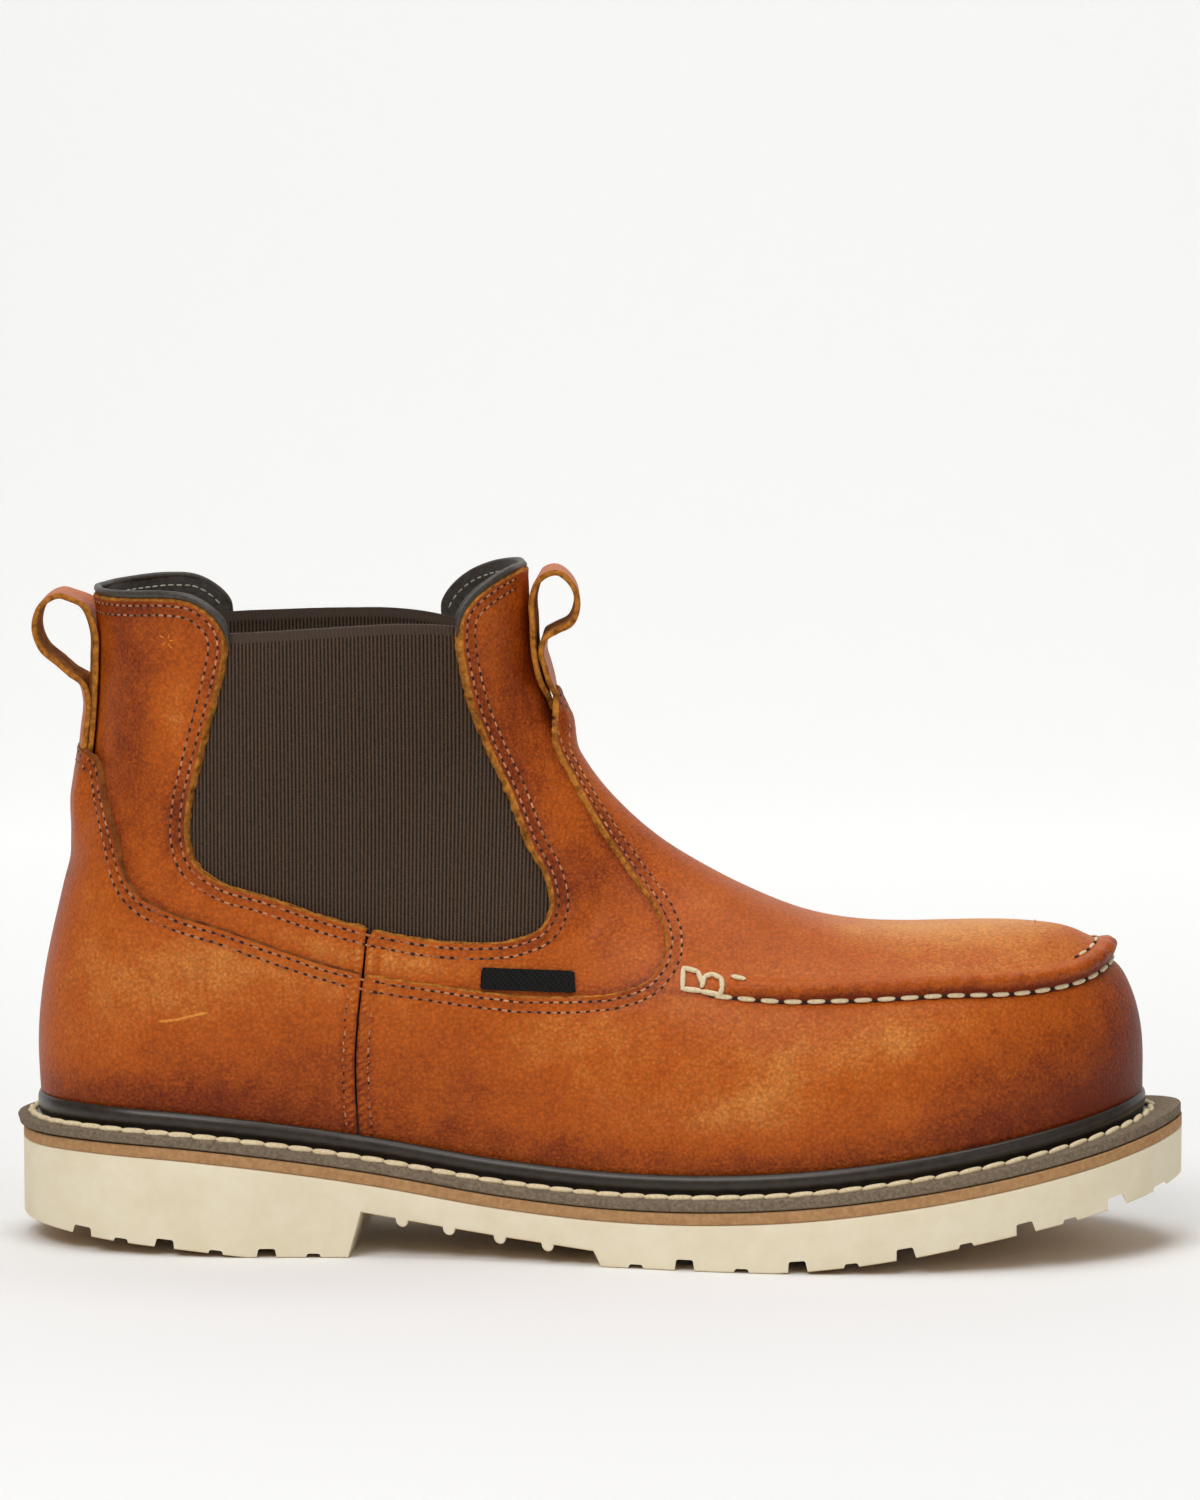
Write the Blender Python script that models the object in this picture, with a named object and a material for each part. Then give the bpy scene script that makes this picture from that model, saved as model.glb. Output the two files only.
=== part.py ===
"""Chelsea work boot for the right foot, built as its maker puts it together.

The tables hold millimetres and the model is in metres. +X points to the toe and +Z up, so the wearer's
outer side is -Y. The origin is on the floor, under the middle of the boot's plan.
"""

import math

import bmesh
import bpy
import numpy as np
from mathutils import Euler, Vector
from mathutils.bvhtree import BVHTree

MM = 0.001

# Driving sizes
SOLE_LENGTH = 316.0
BALL_WIDTH = 108.0
GAP = 0.3
MIDSOLE_THICKNESS = 2.9
WELT_THICKNESS = 3.1
BEAD_HEIGHT = 6.0
BEAD_WIDTH = 3.4
BEAD_CLEARANCE = 0.85
WELT_LEDGE = 6.0
LEATHER = 2.4
PANEL_PROUD = 1.2
PANEL_SUNK = 1.3
PANEL_HEM = 0.6
GORE_THICKNESS = 1.8
GORE_MARGIN = 8.0
GORE_CLEARANCE = 0.6
GORE_TOP = 168.6
INSOLE_THICKNESS = 4.0
INSOLE_CLEARANCE = 1.0
COLLAR_ROLL_RADIUS = 1.3
ROLL_INSET = 1.4
ROLL_END = 170.8
STRAP_THICKNESS = 1.4
STRAP_WIDTH = 24.0
TAB_THICKNESS = 0.8
RIDGE_HEIGHT = 2.3

# Across the boot, further than any piece reaches, and along it, the middle of the leg
FAR = 120.0
LEG_MIDDLE = -78.0

# How finely the upper is lofted: steps from each section to the next in the foot and in the leg
FOOT_STEPS = 3
LEG_STEPS = 2
FIRST_LEG_SECTION = 8
APRON_STEPS = 3
WALL_STEPS = 6
WALL_CLOSING = 1.6

# Heights of the layers above the top of the outsole
MIDSOLE_BASE = GAP
WELT_BASE = MIDSOLE_BASE + MIDSOLE_THICKNESS + GAP
WELT_TOP = WELT_BASE + WELT_THICKNESS
UPPER_SEAT = WELT_TOP + GAP

# Sole outline, heel to toe along the outer side and back along the inner side.
# Columns: along, as a share of half the length; across, as a share of half the ball width.
SOLE_OUTLINE = (
    (-1.000, 0.000), (-0.960, -0.370), (-0.850, -0.635), (-0.665, -0.735), (-0.410, -0.705),
    (-0.175, -0.750), (0.030, -0.865), (0.220, -0.965), (0.390, -1.000), (0.570, -0.960),
    (0.735, -0.820), (0.875, -0.580), (0.965, -0.265), (1.000, 0.080), (0.965, 0.420),
    (0.885, 0.710), (0.755, 0.905), (0.590, 1.000), (0.420, 0.965), (0.240, 0.830),
    (0.050, 0.675), (-0.165, 0.600), (-0.390, 0.650), (-0.665, 0.735), (-0.850, 0.635),
    (-0.960, 0.370),
)

# Welt reach from the upper to the sole edge. Columns: x, reach.
WELT_REACH = ((-158, 6.0), (-100, 7.2), (0, 8.2), (70, 8.8), (158, 11.0))

# Top of the outsole along the boot. Columns: x, z.
ROCKER = (
    (-158, 27.0), (-132, 27.0), (-104, 25.4), (-61, 20.0), (-23, 14.3), (9, 12.2), (36, 12.6),
    (57, 14.0), (83, 17.1), (110, 21.4), (136, 26.6), (158, 32.0),
)

# Underside of the outsole along the boot: heel, breast, waist, tread step and toe spring. Columns: x, z.
TREAD = (
    (-158, 6.5), (-150, 5.6), (-138, 4.4), (-122, 2.9), (-106, 1.4), (-92, 0.0), (-65, 0.0), (-61.5, 12.4),
    (-42, 9.3), (-23, 6.7), (-7, 5.0), (1.5, 4.1), (3.5, 0.0), (30, 0.0), (50, 0.0), (60, 0.8), (73, 2.3),
    (89, 4.8), (99, 6.7), (115, 9.7), (131, 12.7), (143, 15.4), (152, 17.6), (158, 19.4),
)

# Half-round ribs across the waist
WAIST_RIB_FIRST = -49.0
WAIST_RIB_PITCH = 13.6
WAIST_RIB_COUNT = 4
WAIST_RIB_RADIUS = 1.6

# Tread cuts, alternately deep and shallow, from both edges of the sole
LUG_PITCH = 15.2
FOREFOOT_LUG_FIRST = 12.5
FOREFOOT_LUG_COUNT = 10
HEEL_LUG_FIRST = -78.0
HEEL_LUG_COUNT = 6
HEEL_LUG_PITCH = 12.6
DEEP_CUT = {"depth": 3.4, "width": 6.0, "length": 30.0, "slant": 12.0}
SHALLOW_CUT = {"depth": 1.2, "width": 4.6, "length": 18.0, "slant": 12.0}
CUT_SHARE = 0.3

# Top centre line of the upper, from the apron over the instep to the front of the collar. Columns: x, y, z.
DORSAL_LINE = (
    (118.0, 3.6, 85.8), (109.0, 3.2, 86.2), (96.0, 2.8, 85.8), (83.0, 2.4, 85.4), (70.0, 2.0, 85.9),
    (56.0, 1.6, 88.4), (42.0, 1.3, 93.8), (31.0, 1.0, 99.2), (21.0, 0.8, 104.9), (7.5, 0.5, 115.4),
    (-2.4, 0.2, 126.3), (-9.1, 0.0, 137.3), (-14.8, 0.0, 149.0), (-18.2, 0.0, 162.0),
    (-19.2, 0.0, 174.0), (-19.4, 0.0, 191.0),
)

# Back centre line of the upper, from the heel seat to above the collar. Columns: x, z.
BACK_LINE = (
    (-152.2, 42.0), (-152.8, 50.0), (-152.4, 60.0), (-151.0, 71.0), (-148.7, 82.3), (-146.0, 93.3),
    (-143.4, 104.4), (-141.3, 115.4), (-139.4, 126.0), (-138.0, 137.0), (-137.0, 149.0),
    (-136.6, 163.0), (-136.4, 182.0),
)

# Sections of the last, toe to collar. dorsal_at: share of the top centre line. base_at: share of the feather
# line from toe tip to heel back, then 1 to 2 up the back line. leg_half: half-width that the leg needs.
# wide_at: where the section is widest, from top to base. crown: squareness of the top.
# cap: 1 where the top rounds over the front of the toe.
SECTIONS = (
    # dorsal_at, base_at, leg_half, wide_at, crown, cap
    (0.000, 0.000, -60.0, 0.74, 2.30, 1.00),
    (0.006, 0.045, -60.0, 0.73, 2.30, 1.00),
    (0.022, 0.095, -60.0, 0.71, 2.30, 0.90),
    (0.065, 0.160, -60.0, 0.68, 2.35, 0.55),
    (0.140, 0.240, -60.0, 0.66, 2.40, 0.20),
    (0.270, 0.330, -50.0, 0.66, 2.30, 0.00),
    (0.420, 0.430, -10.0, 0.68, 2.10, 0.00),
    (0.555, 0.540, 26.0, 0.70, 1.95, 0.00),
    (0.645, 0.645, 34.0, 0.66, 1.90, 0.00),
    (0.710, 0.765, 33.5, 0.60, 1.90, 0.00),
    (0.760, 0.880, 32.5, 0.55, 1.95, 0.00),
    (0.785, 0.950, 32.0, 0.53, 2.00, 0.00),
    (0.800, 1.000, 32.0, 0.52, 2.00, 0.00),
    (0.832, 1.200, 32.0, 0.50, 2.05, 0.00),
    (0.872, 1.450, 33.0, 0.50, 2.10, 0.00),
    (0.925, 1.730, 35.0, 0.50, 2.15, 0.00),
    (1.000, 2.000, 37.0, 0.50, 2.20, 0.00),
)
HEEL_BACK_SECTION = 12
WALL_FLARE = 1.03

# Raised seam of the moccasin toe. Columns: section, girth from the top centre line, share of the full height.
APRON_SEAM = (
    (0.0, 20.5, 1.0), (1.0, 23.4, 1.0), (2.0, 29.3, 1.0), (3.0, 36.4, 1.0), (4.0, 40.5, 1.0),
    (5.0, 42.6, 0.9), (6.0, 46.0, 0.5), (7.0, 50.0, 0.0), (16.0, 52.0, 0.0),
)

# Cross profile of the raised seam. Columns: girth from the seam, share of its height.
SEAM_PROFILE = ((-5.0, 0.0), (-2.0, 0.8), (0.2, 1.0), (1.8, -0.1), (5.0, 0.0))

# Leather's top edge in side view: back tab, gore and front tab. Columns: x, z.
TOPLINE = (
    (-150.0, 176.4), (-134.5, 176.2), (-124.0, 176.6), (-114.0, 177.1), (-107.0, 176.3), (-102.0, 173.5),
    (-98.4, 169.6), (-97.0, 164.0), (-97.6, 159.0), (-100.6, 147.0), (-104.6, 132.0), (-107.3, 120.0),
    (-107.6, 112.5), (-105.4, 106.0), (-99.6, 101.8), (-87.5, 98.0), (-70.0, 92.2), (-54.5, 88.4),
    (-42.0, 86.5), (-30.0, 86.0), (-20.2, 86.9), (-14.0, 89.8), (-11.9, 94.4), (-12.8, 100.7),
    (-18.0, 110.5), (-23.5, 124.0), (-29.0, 135.5), (-32.8, 145.5), (-35.2, 156.0), (-36.3, 166.0),
    (-35.4, 172.4), (-33.0, 176.0), (-28.4, 179.9), (-22.5, 182.7), (-14.9, 184.6), (-6.0, 184.9),
)
GORE_FIRST = 7
GORE_LAST = 29

# The leg is turned a little on the foot, so on the inner side the top edge leans back and stands lower. The lean
# starts at a height, and it crosses over between the two sides within a distance of the middle.
INNER_BACK = 9.0
INNER_DROP = 1.2
LEAN_FROM = 90.0
CROSSING = 20.0
SIDE_SHARE = {"outer": 0.0, "inner": 1.0}

# Upper edge of the counter and vamp panels in side view, back to front. Columns: x, z.
PANEL_EDGE = (
    (-160.0, 137.0), (-139.0, 136.0), (-133.8, 133.0), (-131.0, 123.5), (-126.8, 110.5), (-124.2, 102.2),
    (-120.0, 97.2), (-112.5, 93.6), (-98.0, 89.2), (-82.0, 83.5), (-68.0, 79.2), (-55.0, 76.6),
    (-42.0, 74.8), (-29.5, 73.2), (-17.5, 71.9), (-4.0, 71.8), (7.0, 73.0), (14.8, 76.2), (18.2, 81.0),
    (18.4, 86.0), (16.4, 90.8), (9.0, 100.6), (1.0, 111.4), (-8.0, 126.0), (-12.6, 134.5), (-14.6, 141.0),
    (-15.4, 148.4), (-12.0, 156.0),
)

# Corners of the sewn-in side tab. Columns: x, z.
SIDE_TAB = ((-29.3, 78.6), (-4.6, 77.4), (-4.3, 72.8), (-29.6, 74.0))

# Middle of each pull strap from its lower inner end, round the loop, to its lower outer end. Columns: x, z.
BACK_STRAP = (
    (-139.2, 138.6), (-138.0, 149.0), (-137.6, 158.0), (-137.8, 166.0), (-140.6, 172.8), (-145.8, 176.2),
    (-150.8, 173.0), (-152.6, 166.6), (-150.2, 160.6), (-144.8, 155.8), (-140.4, 151.2), (-139.8, 146.0),
    (-140.9, 138.6),
)
FRONT_STRAP = (
    (-14.4, 152.2), (-16.7, 160.7), (-17.3, 168.6), (-17.5, 175.2), (-15.6, 180.3), (-10.8, 182.4),
    (-6.4, 178.8), (-5.2, 173.2), (-6.9, 168.7), (-10.8, 166.6), (-14.0, 164.6), (-15.0, 160.9),
    (-14.2, 156.6), (-12.8, 152.2),
)

# Colours, linear RGB
TAN_LEATHER = (0.37, 0.105, 0.022)
CREAM_RUBBER = (0.78, 0.70, 0.52)
BROWN_RUBBER = (0.055, 0.043, 0.034)
TAN_MIDSOLE = (0.36, 0.19, 0.085)
BROWN_ELASTIC = (0.045, 0.029, 0.019)
DARK_LEATHER = (0.030, 0.025, 0.021)
INSOLE_BROWN = (0.075, 0.05, 0.033)
BLACK_TAPE = (0.012, 0.012, 0.012)


def clear_scene():
    for item in list(bpy.data.objects):
        bpy.data.objects.remove(item)


def new_collection(name):
    collection = bpy.data.collections.new(name)
    bpy.context.scene.collection.children.link(collection)
    return collection


def new_material(name, colour, roughness):
    material = bpy.data.materials.new(name)
    material.use_nodes = True
    shader = material.node_tree.nodes["Principled BSDF"]
    shader.inputs["Base Color"].default_value = (*colour, 1.0)
    shader.inputs["Roughness"].default_value = roughness
    shader.inputs["Metallic"].default_value = 0.0
    return material


def smooth(rows, at):
    """Values at one place of a smooth curve through a table's rows, whose first column is the place."""
    rows = np.asarray(rows, float)
    places, values = rows[:, 0], rows[:, 1:]
    slopes = np.gradient(values, places, axis=0)
    i = int(np.clip(np.searchsorted(places, at) - 1, 0, len(places) - 2))
    span = places[i + 1] - places[i]
    t = (at - places[i]) / span
    start, end = values[i], values[i + 1]
    rise = span * slopes[i]
    run_out = span * slopes[i + 1]
    return (
        start * (2 * t**3 - 3 * t**2 + 1)
        + rise * (t**3 - 2 * t**2 + t)
        + end * (3 * t**2 - 2 * t**3)
        + run_out * (t**3 - t**2)
    )


def lengths(points):
    """Distance along a line of points, from its start to each point."""
    steps = np.linalg.norm(np.diff(points, axis=0), axis=1)
    return np.concatenate(([0.0], np.cumsum(steps)))


def rounded(points, steps):
    """A smooth line through the points, with a number of steps in each span."""
    points = np.asarray(points, float)
    rows = np.column_stack((lengths(points), points))
    places = [
        low + (high - low) * k / steps
        for low, high in zip(rows[:-1, 0], rows[1:, 0])
        for k in range(steps)
    ]
    return np.array([smooth(rows, place) for place in places + [rows[-1, 0]]])


def at_share(line, share):
    """The point at a share of a line's length."""
    run = lengths(line)
    place = np.clip(share, 0.0, 1.0) * run[-1]
    return np.array([np.interp(place, run, column) for column in line.T])


def sole_outline():
    """Dense closed outline of the sole, centred on the origin, from heel back round the outer side."""
    scale = np.array((SOLE_LENGTH / 2, BALL_WIDTH / 2))
    points = np.array(SOLE_OUTLINE) * scale
    overlap = 3
    looped = np.vstack((points[-overlap:], points, points[: overlap + 1]))
    steps = 16
    line = rounded(looped, steps)[overlap * steps : -overlap * steps]
    middle = (line.max(0) + line.min(0)) / 2
    return line - middle


def inset(line, distances):
    """The closed line moved inwards by a distance at each point."""
    ahead = np.roll(line[:-1], -1, axis=0)
    behind = np.roll(line[:-1], 1, axis=0)
    tangent = ahead - behind
    tangent /= np.linalg.norm(tangent, axis=1)[:, None]
    inward = np.column_stack((-tangent[:, 1], tangent[:, 0]))
    moved = line[:-1] + inward * np.asarray(distances)[:-1, None]
    return np.vstack((moved, moved[:1]))


def branches(line):
    """The outer and inner halves of a closed outline, each from toe tip to heel back."""
    toe = int(np.argmax(line[:, 0]))
    return {"outer": line[: toe + 1][::-1], "inner": line[toe:]}


def rocker(x):
    return float(smooth(ROCKER, x)[0])


OUTLINE = sole_outline()
REACHES = np.array([smooth(WELT_REACH, x)[0] for x in OUTLINE[:, 0]])
FEATHER = branches(inset(OUTLINE, REACHES))
DORSAL = rounded(DORSAL_LINE, 6)
SIDES = ("inner", "outer")
OUTWARD = {"outer": -1.0, "inner": 1.0}


def back_line(seat):
    """Back centre line from the heel seat up, as x and z."""
    heel_x = FEATHER["outer"][-1][0]
    foot = (heel_x, rocker(heel_x) + seat)
    return rounded((foot, *BACK_LINE), 4)


def base_points(share, seat):
    """Where a section ends on each side: on the feather line, or past 1 on the back line."""
    if share <= 1.0:
        ends = {side: at_share(FEATHER[side], share) for side in SIDES}
        return {side: np.array((x, y, rocker(x) + seat)) for side, (x, y) in ends.items()}
    x, z = at_share(back_line(seat), share - 1.0)
    return {side: np.array((x, 0.0, z)) for side in SIDES}


def feather_y(x, side):
    """Where the feather line of one side stands at places along the boot."""
    half = FEATHER[side]
    order = np.argsort(half[:, 0])
    return np.interp(x, half[order, 0], half[order, 1])


def loft_places():
    """Places in the SECTIONS table that get a row of the loft."""
    foot = [k / FOOT_STEPS for k in range(FIRST_LEG_SECTION * FOOT_STEPS)]
    leg_count = (len(SECTIONS) - 1 - FIRST_LEG_SECTION) * LEG_STEPS
    return foot + [FIRST_LEG_SECTION + k / LEG_STEPS for k in range(leg_count + 1)]


def soft_max(one, other, blend=3.0):
    return 0.5 * (one + other + math.hypot(one - other, blend))


def half_section(place, side, seat):
    """One side of the section at a place in the SECTIONS table, as a dense line from the top to the base."""
    rows = [(number, *row) for number, row in enumerate(SECTIONS)]
    dorsal_at, base_at, leg_half, wide_at, crown, cap = smooth(rows, place)
    top = at_share(DORSAL, dorsal_at)
    bases = base_points(base_at, seat)
    base = bases[side]
    base_middle = (bases["outer"][1] + bases["inner"][1]) / 2
    lean = base[0] - FEATHER[side][-1][0] if base_at > 1.0 else 0.0
    angles = np.linspace(0.0, math.pi / 2, 40)
    rises = np.linspace(0.0, 1.0, 40)[1:]
    across = np.sin(angles) ** (2 / crown)
    crown_down = wide_at * (1 - np.clip(np.cos(angles), 0.0, 1.0) ** (2 / crown))
    down = np.concatenate((crown_down, wide_at + (1 - wide_at) * rises))
    forward = (1 - cap) * down + cap * np.concatenate((across, np.ones(len(rises))))
    x = top[0] + (base[0] - top[0]) * forward
    z = top[2] + (base[2] - top[2]) * down
    middle = top[1] + (base_middle - top[1]) * down
    plan = np.abs(feather_y(x[40:] - lean, side) - middle[40:])
    plan_wide = abs(feather_y(x[39] - lean, side) - middle[39])
    half = soft_max(plan_wide * WALL_FLARE, leg_half) if base_at > 0.001 else 0.0
    settle = 1 - rises**2 * (3 - 2 * rises)
    wall = plan + (half - plan_wide) * settle if half else np.zeros(len(rises))
    wall[-1] = abs(base[1] - base_middle)
    y = middle + OUTWARD[side] * np.concatenate((half * across, wall))
    return np.column_stack((x, y, z))


def girth_stops(length, seam):
    """Places along a half section from the top, across the apron seam, and closer together near the base."""
    first, last = seam + SEAM_PROFILE[0][0], seam + SEAM_PROFILE[-1][0]
    apron = list(np.linspace(0.0, first, APRON_STEPS + 1)[:-1])
    across = [seam + offset for offset, _ in SEAM_PROFILE]
    shares = 1 - (1 - np.arange(1, WALL_STEPS + 1) / WALL_STEPS) ** WALL_CLOSING
    return apron + across + list(last + (length - last) * shares)


def seam_lifts(height):
    apron = [0.0] * APRON_STEPS
    wall = [0.0] * WALL_STEPS
    return apron + [height * share for _, share in SEAM_PROFILE] + wall


def loft_row(place, seat):
    """Points and lifts of one whole section, from the inner base over the top to the outer base."""
    seam, share = smooth(APRON_SEAM, place)
    lifts = seam_lifts(RIDGE_HEIGHT * float(np.clip(share, 0.0, 1.0)))
    halves = {}
    for side in SIDES:
        line = half_section(place, side, seat)
        run = lengths(line)
        stops = girth_stops(run[-1], seam)
        halves[side] = np.array([[np.interp(s, run, column) for column in line.T] for s in stops])
    points = np.vstack((halves["inner"][::-1], halves["outer"][1:]))
    return points, lifts[::-1] + lifts[1:]


def last_surface(lift, seat=UPPER_SEAT):
    """The upper's surface without its raised seam, in millimetres, moved out along its normals."""
    rows = [loft_row(place, seat) for place in loft_places()]
    mesh = bmesh.new()
    raised = mesh.verts.layers.float.new("raised")
    grid = []
    for points, lifts in rows:
        line = [mesh.verts.new(point) for point in points]
        for vertex, amount in zip(line, lifts):
            vertex[raised] = amount
        grid.append(line)
    for row, following in zip(grid[:-1], grid[1:]):
        for a, b, c, d in zip(row[:-1], row[1:], following[1:], following[:-1]):
            mesh.faces.new((a, b, c, d))
    bmesh.ops.remove_doubles(mesh, verts=mesh.verts, dist=0.15)
    bmesh.ops.recalc_face_normals(mesh, faces=mesh.faces)
    if sum(face.normal.y * face.calc_center_median().y for face in mesh.faces) < 0:
        bmesh.ops.reverse_faces(mesh, faces=mesh.faces)
    mesh.normal_update()
    move_along(mesh, [(vertex, vertex.normal * lift) for vertex in mesh.verts])
    return mesh


def move_along(mesh, moves):
    for vertex, move in moves:
        vertex.co += move
    mesh.normal_update()


def wall(lift, thickness, seat=UPPER_SEAT, with_seam=False):
    """A closed wall of even thickness inside the upper's surface, with the seam raised on its outer face."""
    mesh = last_surface(lift, seat)
    raised = mesh.verts.layers.float["raised"]
    seam = [(vertex, vertex.normal * vertex[raised]) for vertex in mesh.verts]
    bmesh.ops.solidify(mesh, geom=mesh.faces[:], thickness=thickness)
    if with_seam:
        move_along(mesh, seam)
    bmesh.ops.recalc_face_normals(mesh, faces=mesh.faces)
    return mesh


def mesh_object(name, mesh, collection, material=None):
    """A new object from a mesh in millimetres."""
    bmesh.ops.scale(mesh, vec=(MM, MM, MM), verts=mesh.verts)
    data = bpy.data.meshes.new(name)
    mesh.to_mesh(data)
    mesh.free()
    item = bpy.data.objects.new(name, data)
    collection.objects.link(item)
    if material:
        data.materials.append(material)
        data.shade_smooth()
        data.set_sharp_from_angle(angle=math.radians(40))
    return item


def hide_as_cutter(item):
    item.hide_render = True
    item.display_type = "WIRE"
    return item


def add_boolean(item, operation, other):
    cut = item.modifiers.new(operation.lower(), "BOOLEAN")
    cut.operation = operation
    cut.object = other
    cut.solver = "EXACT"


def prism(name, stops, collection, material=None):
    """A solid carried across the boot through side-view outlines, each with its y, as a part or as a cutter."""
    mesh = bmesh.new()
    low_y, outline = stops[0]
    first = mesh.faces.new([mesh.verts.new((x, low_y, z)) for x, z in outline])
    ring, edges = first.verts[:], first.edges[:]
    for y, outline in stops[1:]:
        grown = bmesh.ops.extrude_edge_only(mesh, edges=edges)["geom"]
        fresh = {part for part in grown if isinstance(part, bmesh.types.BMVert)}
        edges = [part for part in grown if isinstance(part, bmesh.types.BMEdge) and part.is_boundary]
        ring = [next(end for edge in vertex.link_edges for end in edge.verts if end in fresh) for vertex in ring]
        for vertex, (x, z) in zip(ring, outline):
            vertex.co = (x, y, z)
    bmesh.ops.contextual_create(mesh, geom=edges)
    bmesh.ops.recalc_face_normals(mesh, faces=mesh.faces)
    item = mesh_object(name, mesh, collection, material)
    return item if material else hide_as_cutter(item)


def widened(line, distance):
    """An open side-view line moved sideways by a distance, to the left of its run."""
    ahead = np.gradient(line, axis=0)
    ahead /= np.linalg.norm(ahead, axis=1)[:, None]
    return line + np.column_stack((-ahead[:, 1], ahead[:, 0])) * distance


def leaned(line, share):
    """The leather's top edge at a share of the way across the boot, outer side to inner side."""
    line = np.asarray(line, float)
    up = np.clip((line[:, 1] - LEAN_FROM) / (GORE_TOP - LEAN_FROM), 0.0, 1.0)
    amount = share * up**2 * (3 - 2 * up)
    return line - np.column_stack((INNER_BACK * amount, INNER_DROP * amount))


def slab(name, outer, inner, low, high, collection, material):
    """A sole layer between two heights, from outer and inner edge points that run heel to toe in step."""
    mesh = bmesh.new()
    low_outer, high_outer = [[mesh.verts.new((x, y, height(x))) for x, y in outer] for height in (low, high)]
    low_inner, high_inner = [[mesh.verts.new((x, y, height(x))) for x, y in inner] for height in (low, high)]
    for k in range(len(outer) - 1):
        mesh.faces.new((low_outer[k], low_inner[k], low_inner[k + 1], low_outer[k + 1]))
        mesh.faces.new((high_outer[k], high_outer[k + 1], high_inner[k + 1], high_inner[k]))
        mesh.faces.new((low_outer[k], low_outer[k + 1], high_outer[k + 1], high_outer[k]))
        mesh.faces.new((low_inner[k], high_inner[k], high_inner[k + 1], low_inner[k + 1]))
    for k in (0, -1):
        mesh.faces.new((low_outer[k], high_outer[k], high_inner[k], low_inner[k]))
    bmesh.ops.recalc_face_normals(mesh, faces=mesh.faces)
    return mesh_object(name, mesh, collection, material)


def edge_of(line):
    """Functions of x that give the outer and inner edge of a closed outline."""
    halves = branches(line)
    sorted_halves = {side: half[np.argsort(half[:, 0])] for side, half in halves.items()}
    return {
        "outer": lambda x: float(np.interp(x, *sorted_halves["outer"].T)),
        "inner": lambda x: float(np.interp(x, *sorted_halves["inner"].T)),
    }


def sole_edges(extra=()):
    """Outer and inner edge points of the sole from heel to toe, closer together at the rounded ends."""
    low, high = OUTLINE[:, 0].min() + 0.25, OUTLINE[:, 0].max() - 0.25
    middle, half = (low + high) / 2, (high - low) / 2
    spread = [middle - half * math.cos(math.pi * k / 26) for k in range(27)]
    stations = sorted({round(x, 3) for x in [*spread, *extra]})
    edge = edge_of(OUTLINE)
    return [[(x, edge[side](x)) for x in stations] for side in ("outer", "inner")]


def seat_shares():
    """Shares of the feather line at which the upper's rows stand on it, toe tip to heel back."""
    base_rows = [(number, row[1]) for number, row in enumerate(SECTIONS)]
    return [smooth(base_rows, place)[0] for place in loft_places() if place <= HEEL_BACK_SECTION]


def tread_height(x):
    """Underside of the outsole, with the ribs of the waist."""
    z = float(np.interp(x, *np.array(TREAD).T))
    for k in range(WAIST_RIB_COUNT):
        off = abs(x - WAIST_RIB_FIRST - k * WAIST_RIB_PITCH)
        if off < WAIST_RIB_RADIUS:
            z -= math.sqrt(WAIST_RIB_RADIUS**2 - off**2) + 0.4
    return z


def rib_stations():
    steps = (-1.02, -0.98, -0.5, 0.5, 0.98, 1.02)
    middles = [WAIST_RIB_FIRST + k * WAIST_RIB_PITCH for k in range(WAIST_RIB_COUNT)]
    return [middle + WAIST_RIB_RADIUS * step for middle in middles for step in steps]


def lug_cutters(collection):
    """One mesh of all the tread cuts: bars that reach in from both edges of the sole."""
    edge = edge_of(OUTLINE)
    heel = [HEEL_LUG_FIRST - HEEL_LUG_PITCH * k for k in range(HEEL_LUG_COUNT)]
    forefoot = [FOREFOOT_LUG_FIRST + LUG_PITCH * k for k in range(FOREFOOT_LUG_COUNT)]
    mesh = bmesh.new()
    for run in (heel, forefoot):
        for number, x in enumerate(run):
            cut = DEEP_CUT if number % 2 else SHALLOW_CUT
            slope = math.atan2(tread_height(x + 3) - tread_height(x - 3), 6.0)
            for side, outwards in (("outer", -1), ("inner", 1)):
                bar = bmesh.ops.create_cube(mesh, size=1.0)["verts"]
                length = min(cut["length"], CUT_SHARE * (edge["inner"](x) - edge["outer"](x)))
                bmesh.ops.scale(mesh, vec=(cut["width"], length * 2, cut["depth"] * 2), verts=bar)
                turn = math.radians(cut["slant"]) * outwards
                turned = Euler((0, -slope, turn)).to_matrix()
                bmesh.ops.rotate(mesh, cent=(0, 0, 0), matrix=turned, verts=bar)
                bmesh.ops.translate(mesh, vec=(x, edge[side](x), tread_height(x)), verts=bar)
    return hide_as_cutter(mesh_object("tread_cuts", mesh, collection))


def make_outsole(parts, cutters, material):
    steps = [x for x, _ in TREAD if abs(x) < SOLE_LENGTH / 2 - 1]
    outer, inner = sole_edges([*steps, *rib_stations()])
    outsole = slab("outsole", outer, inner, tread_height, rocker, parts, material)
    add_boolean(outsole, "DIFFERENCE", lug_cutters(cutters))
    return outsole


def make_midsole(parts, material):
    outer, inner = sole_edges()

    def low(x):
        return rocker(x) + MIDSOLE_BASE

    def high(x):
        return low(x) + MIDSOLE_THICKNESS

    return slab("midsole", outer, inner, low, high, parts, material)


def make_insole(parts, material):
    halves = branches(inset(OUTLINE, REACHES + LEATHER + INSOLE_CLEARANCE))
    shares = np.clip(seat_shares(), 0.015, 0.985)[::-1]
    outer, inner = [[at_share(halves[side], share) for share in shares] for side in ("outer", "inner")]

    def low(x):
        return rocker(x) + UPPER_SEAT

    def high(x):
        return low(x) + INSOLE_THICKNESS

    return slab("insole", outer, inner, low, high, parts, material)


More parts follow.
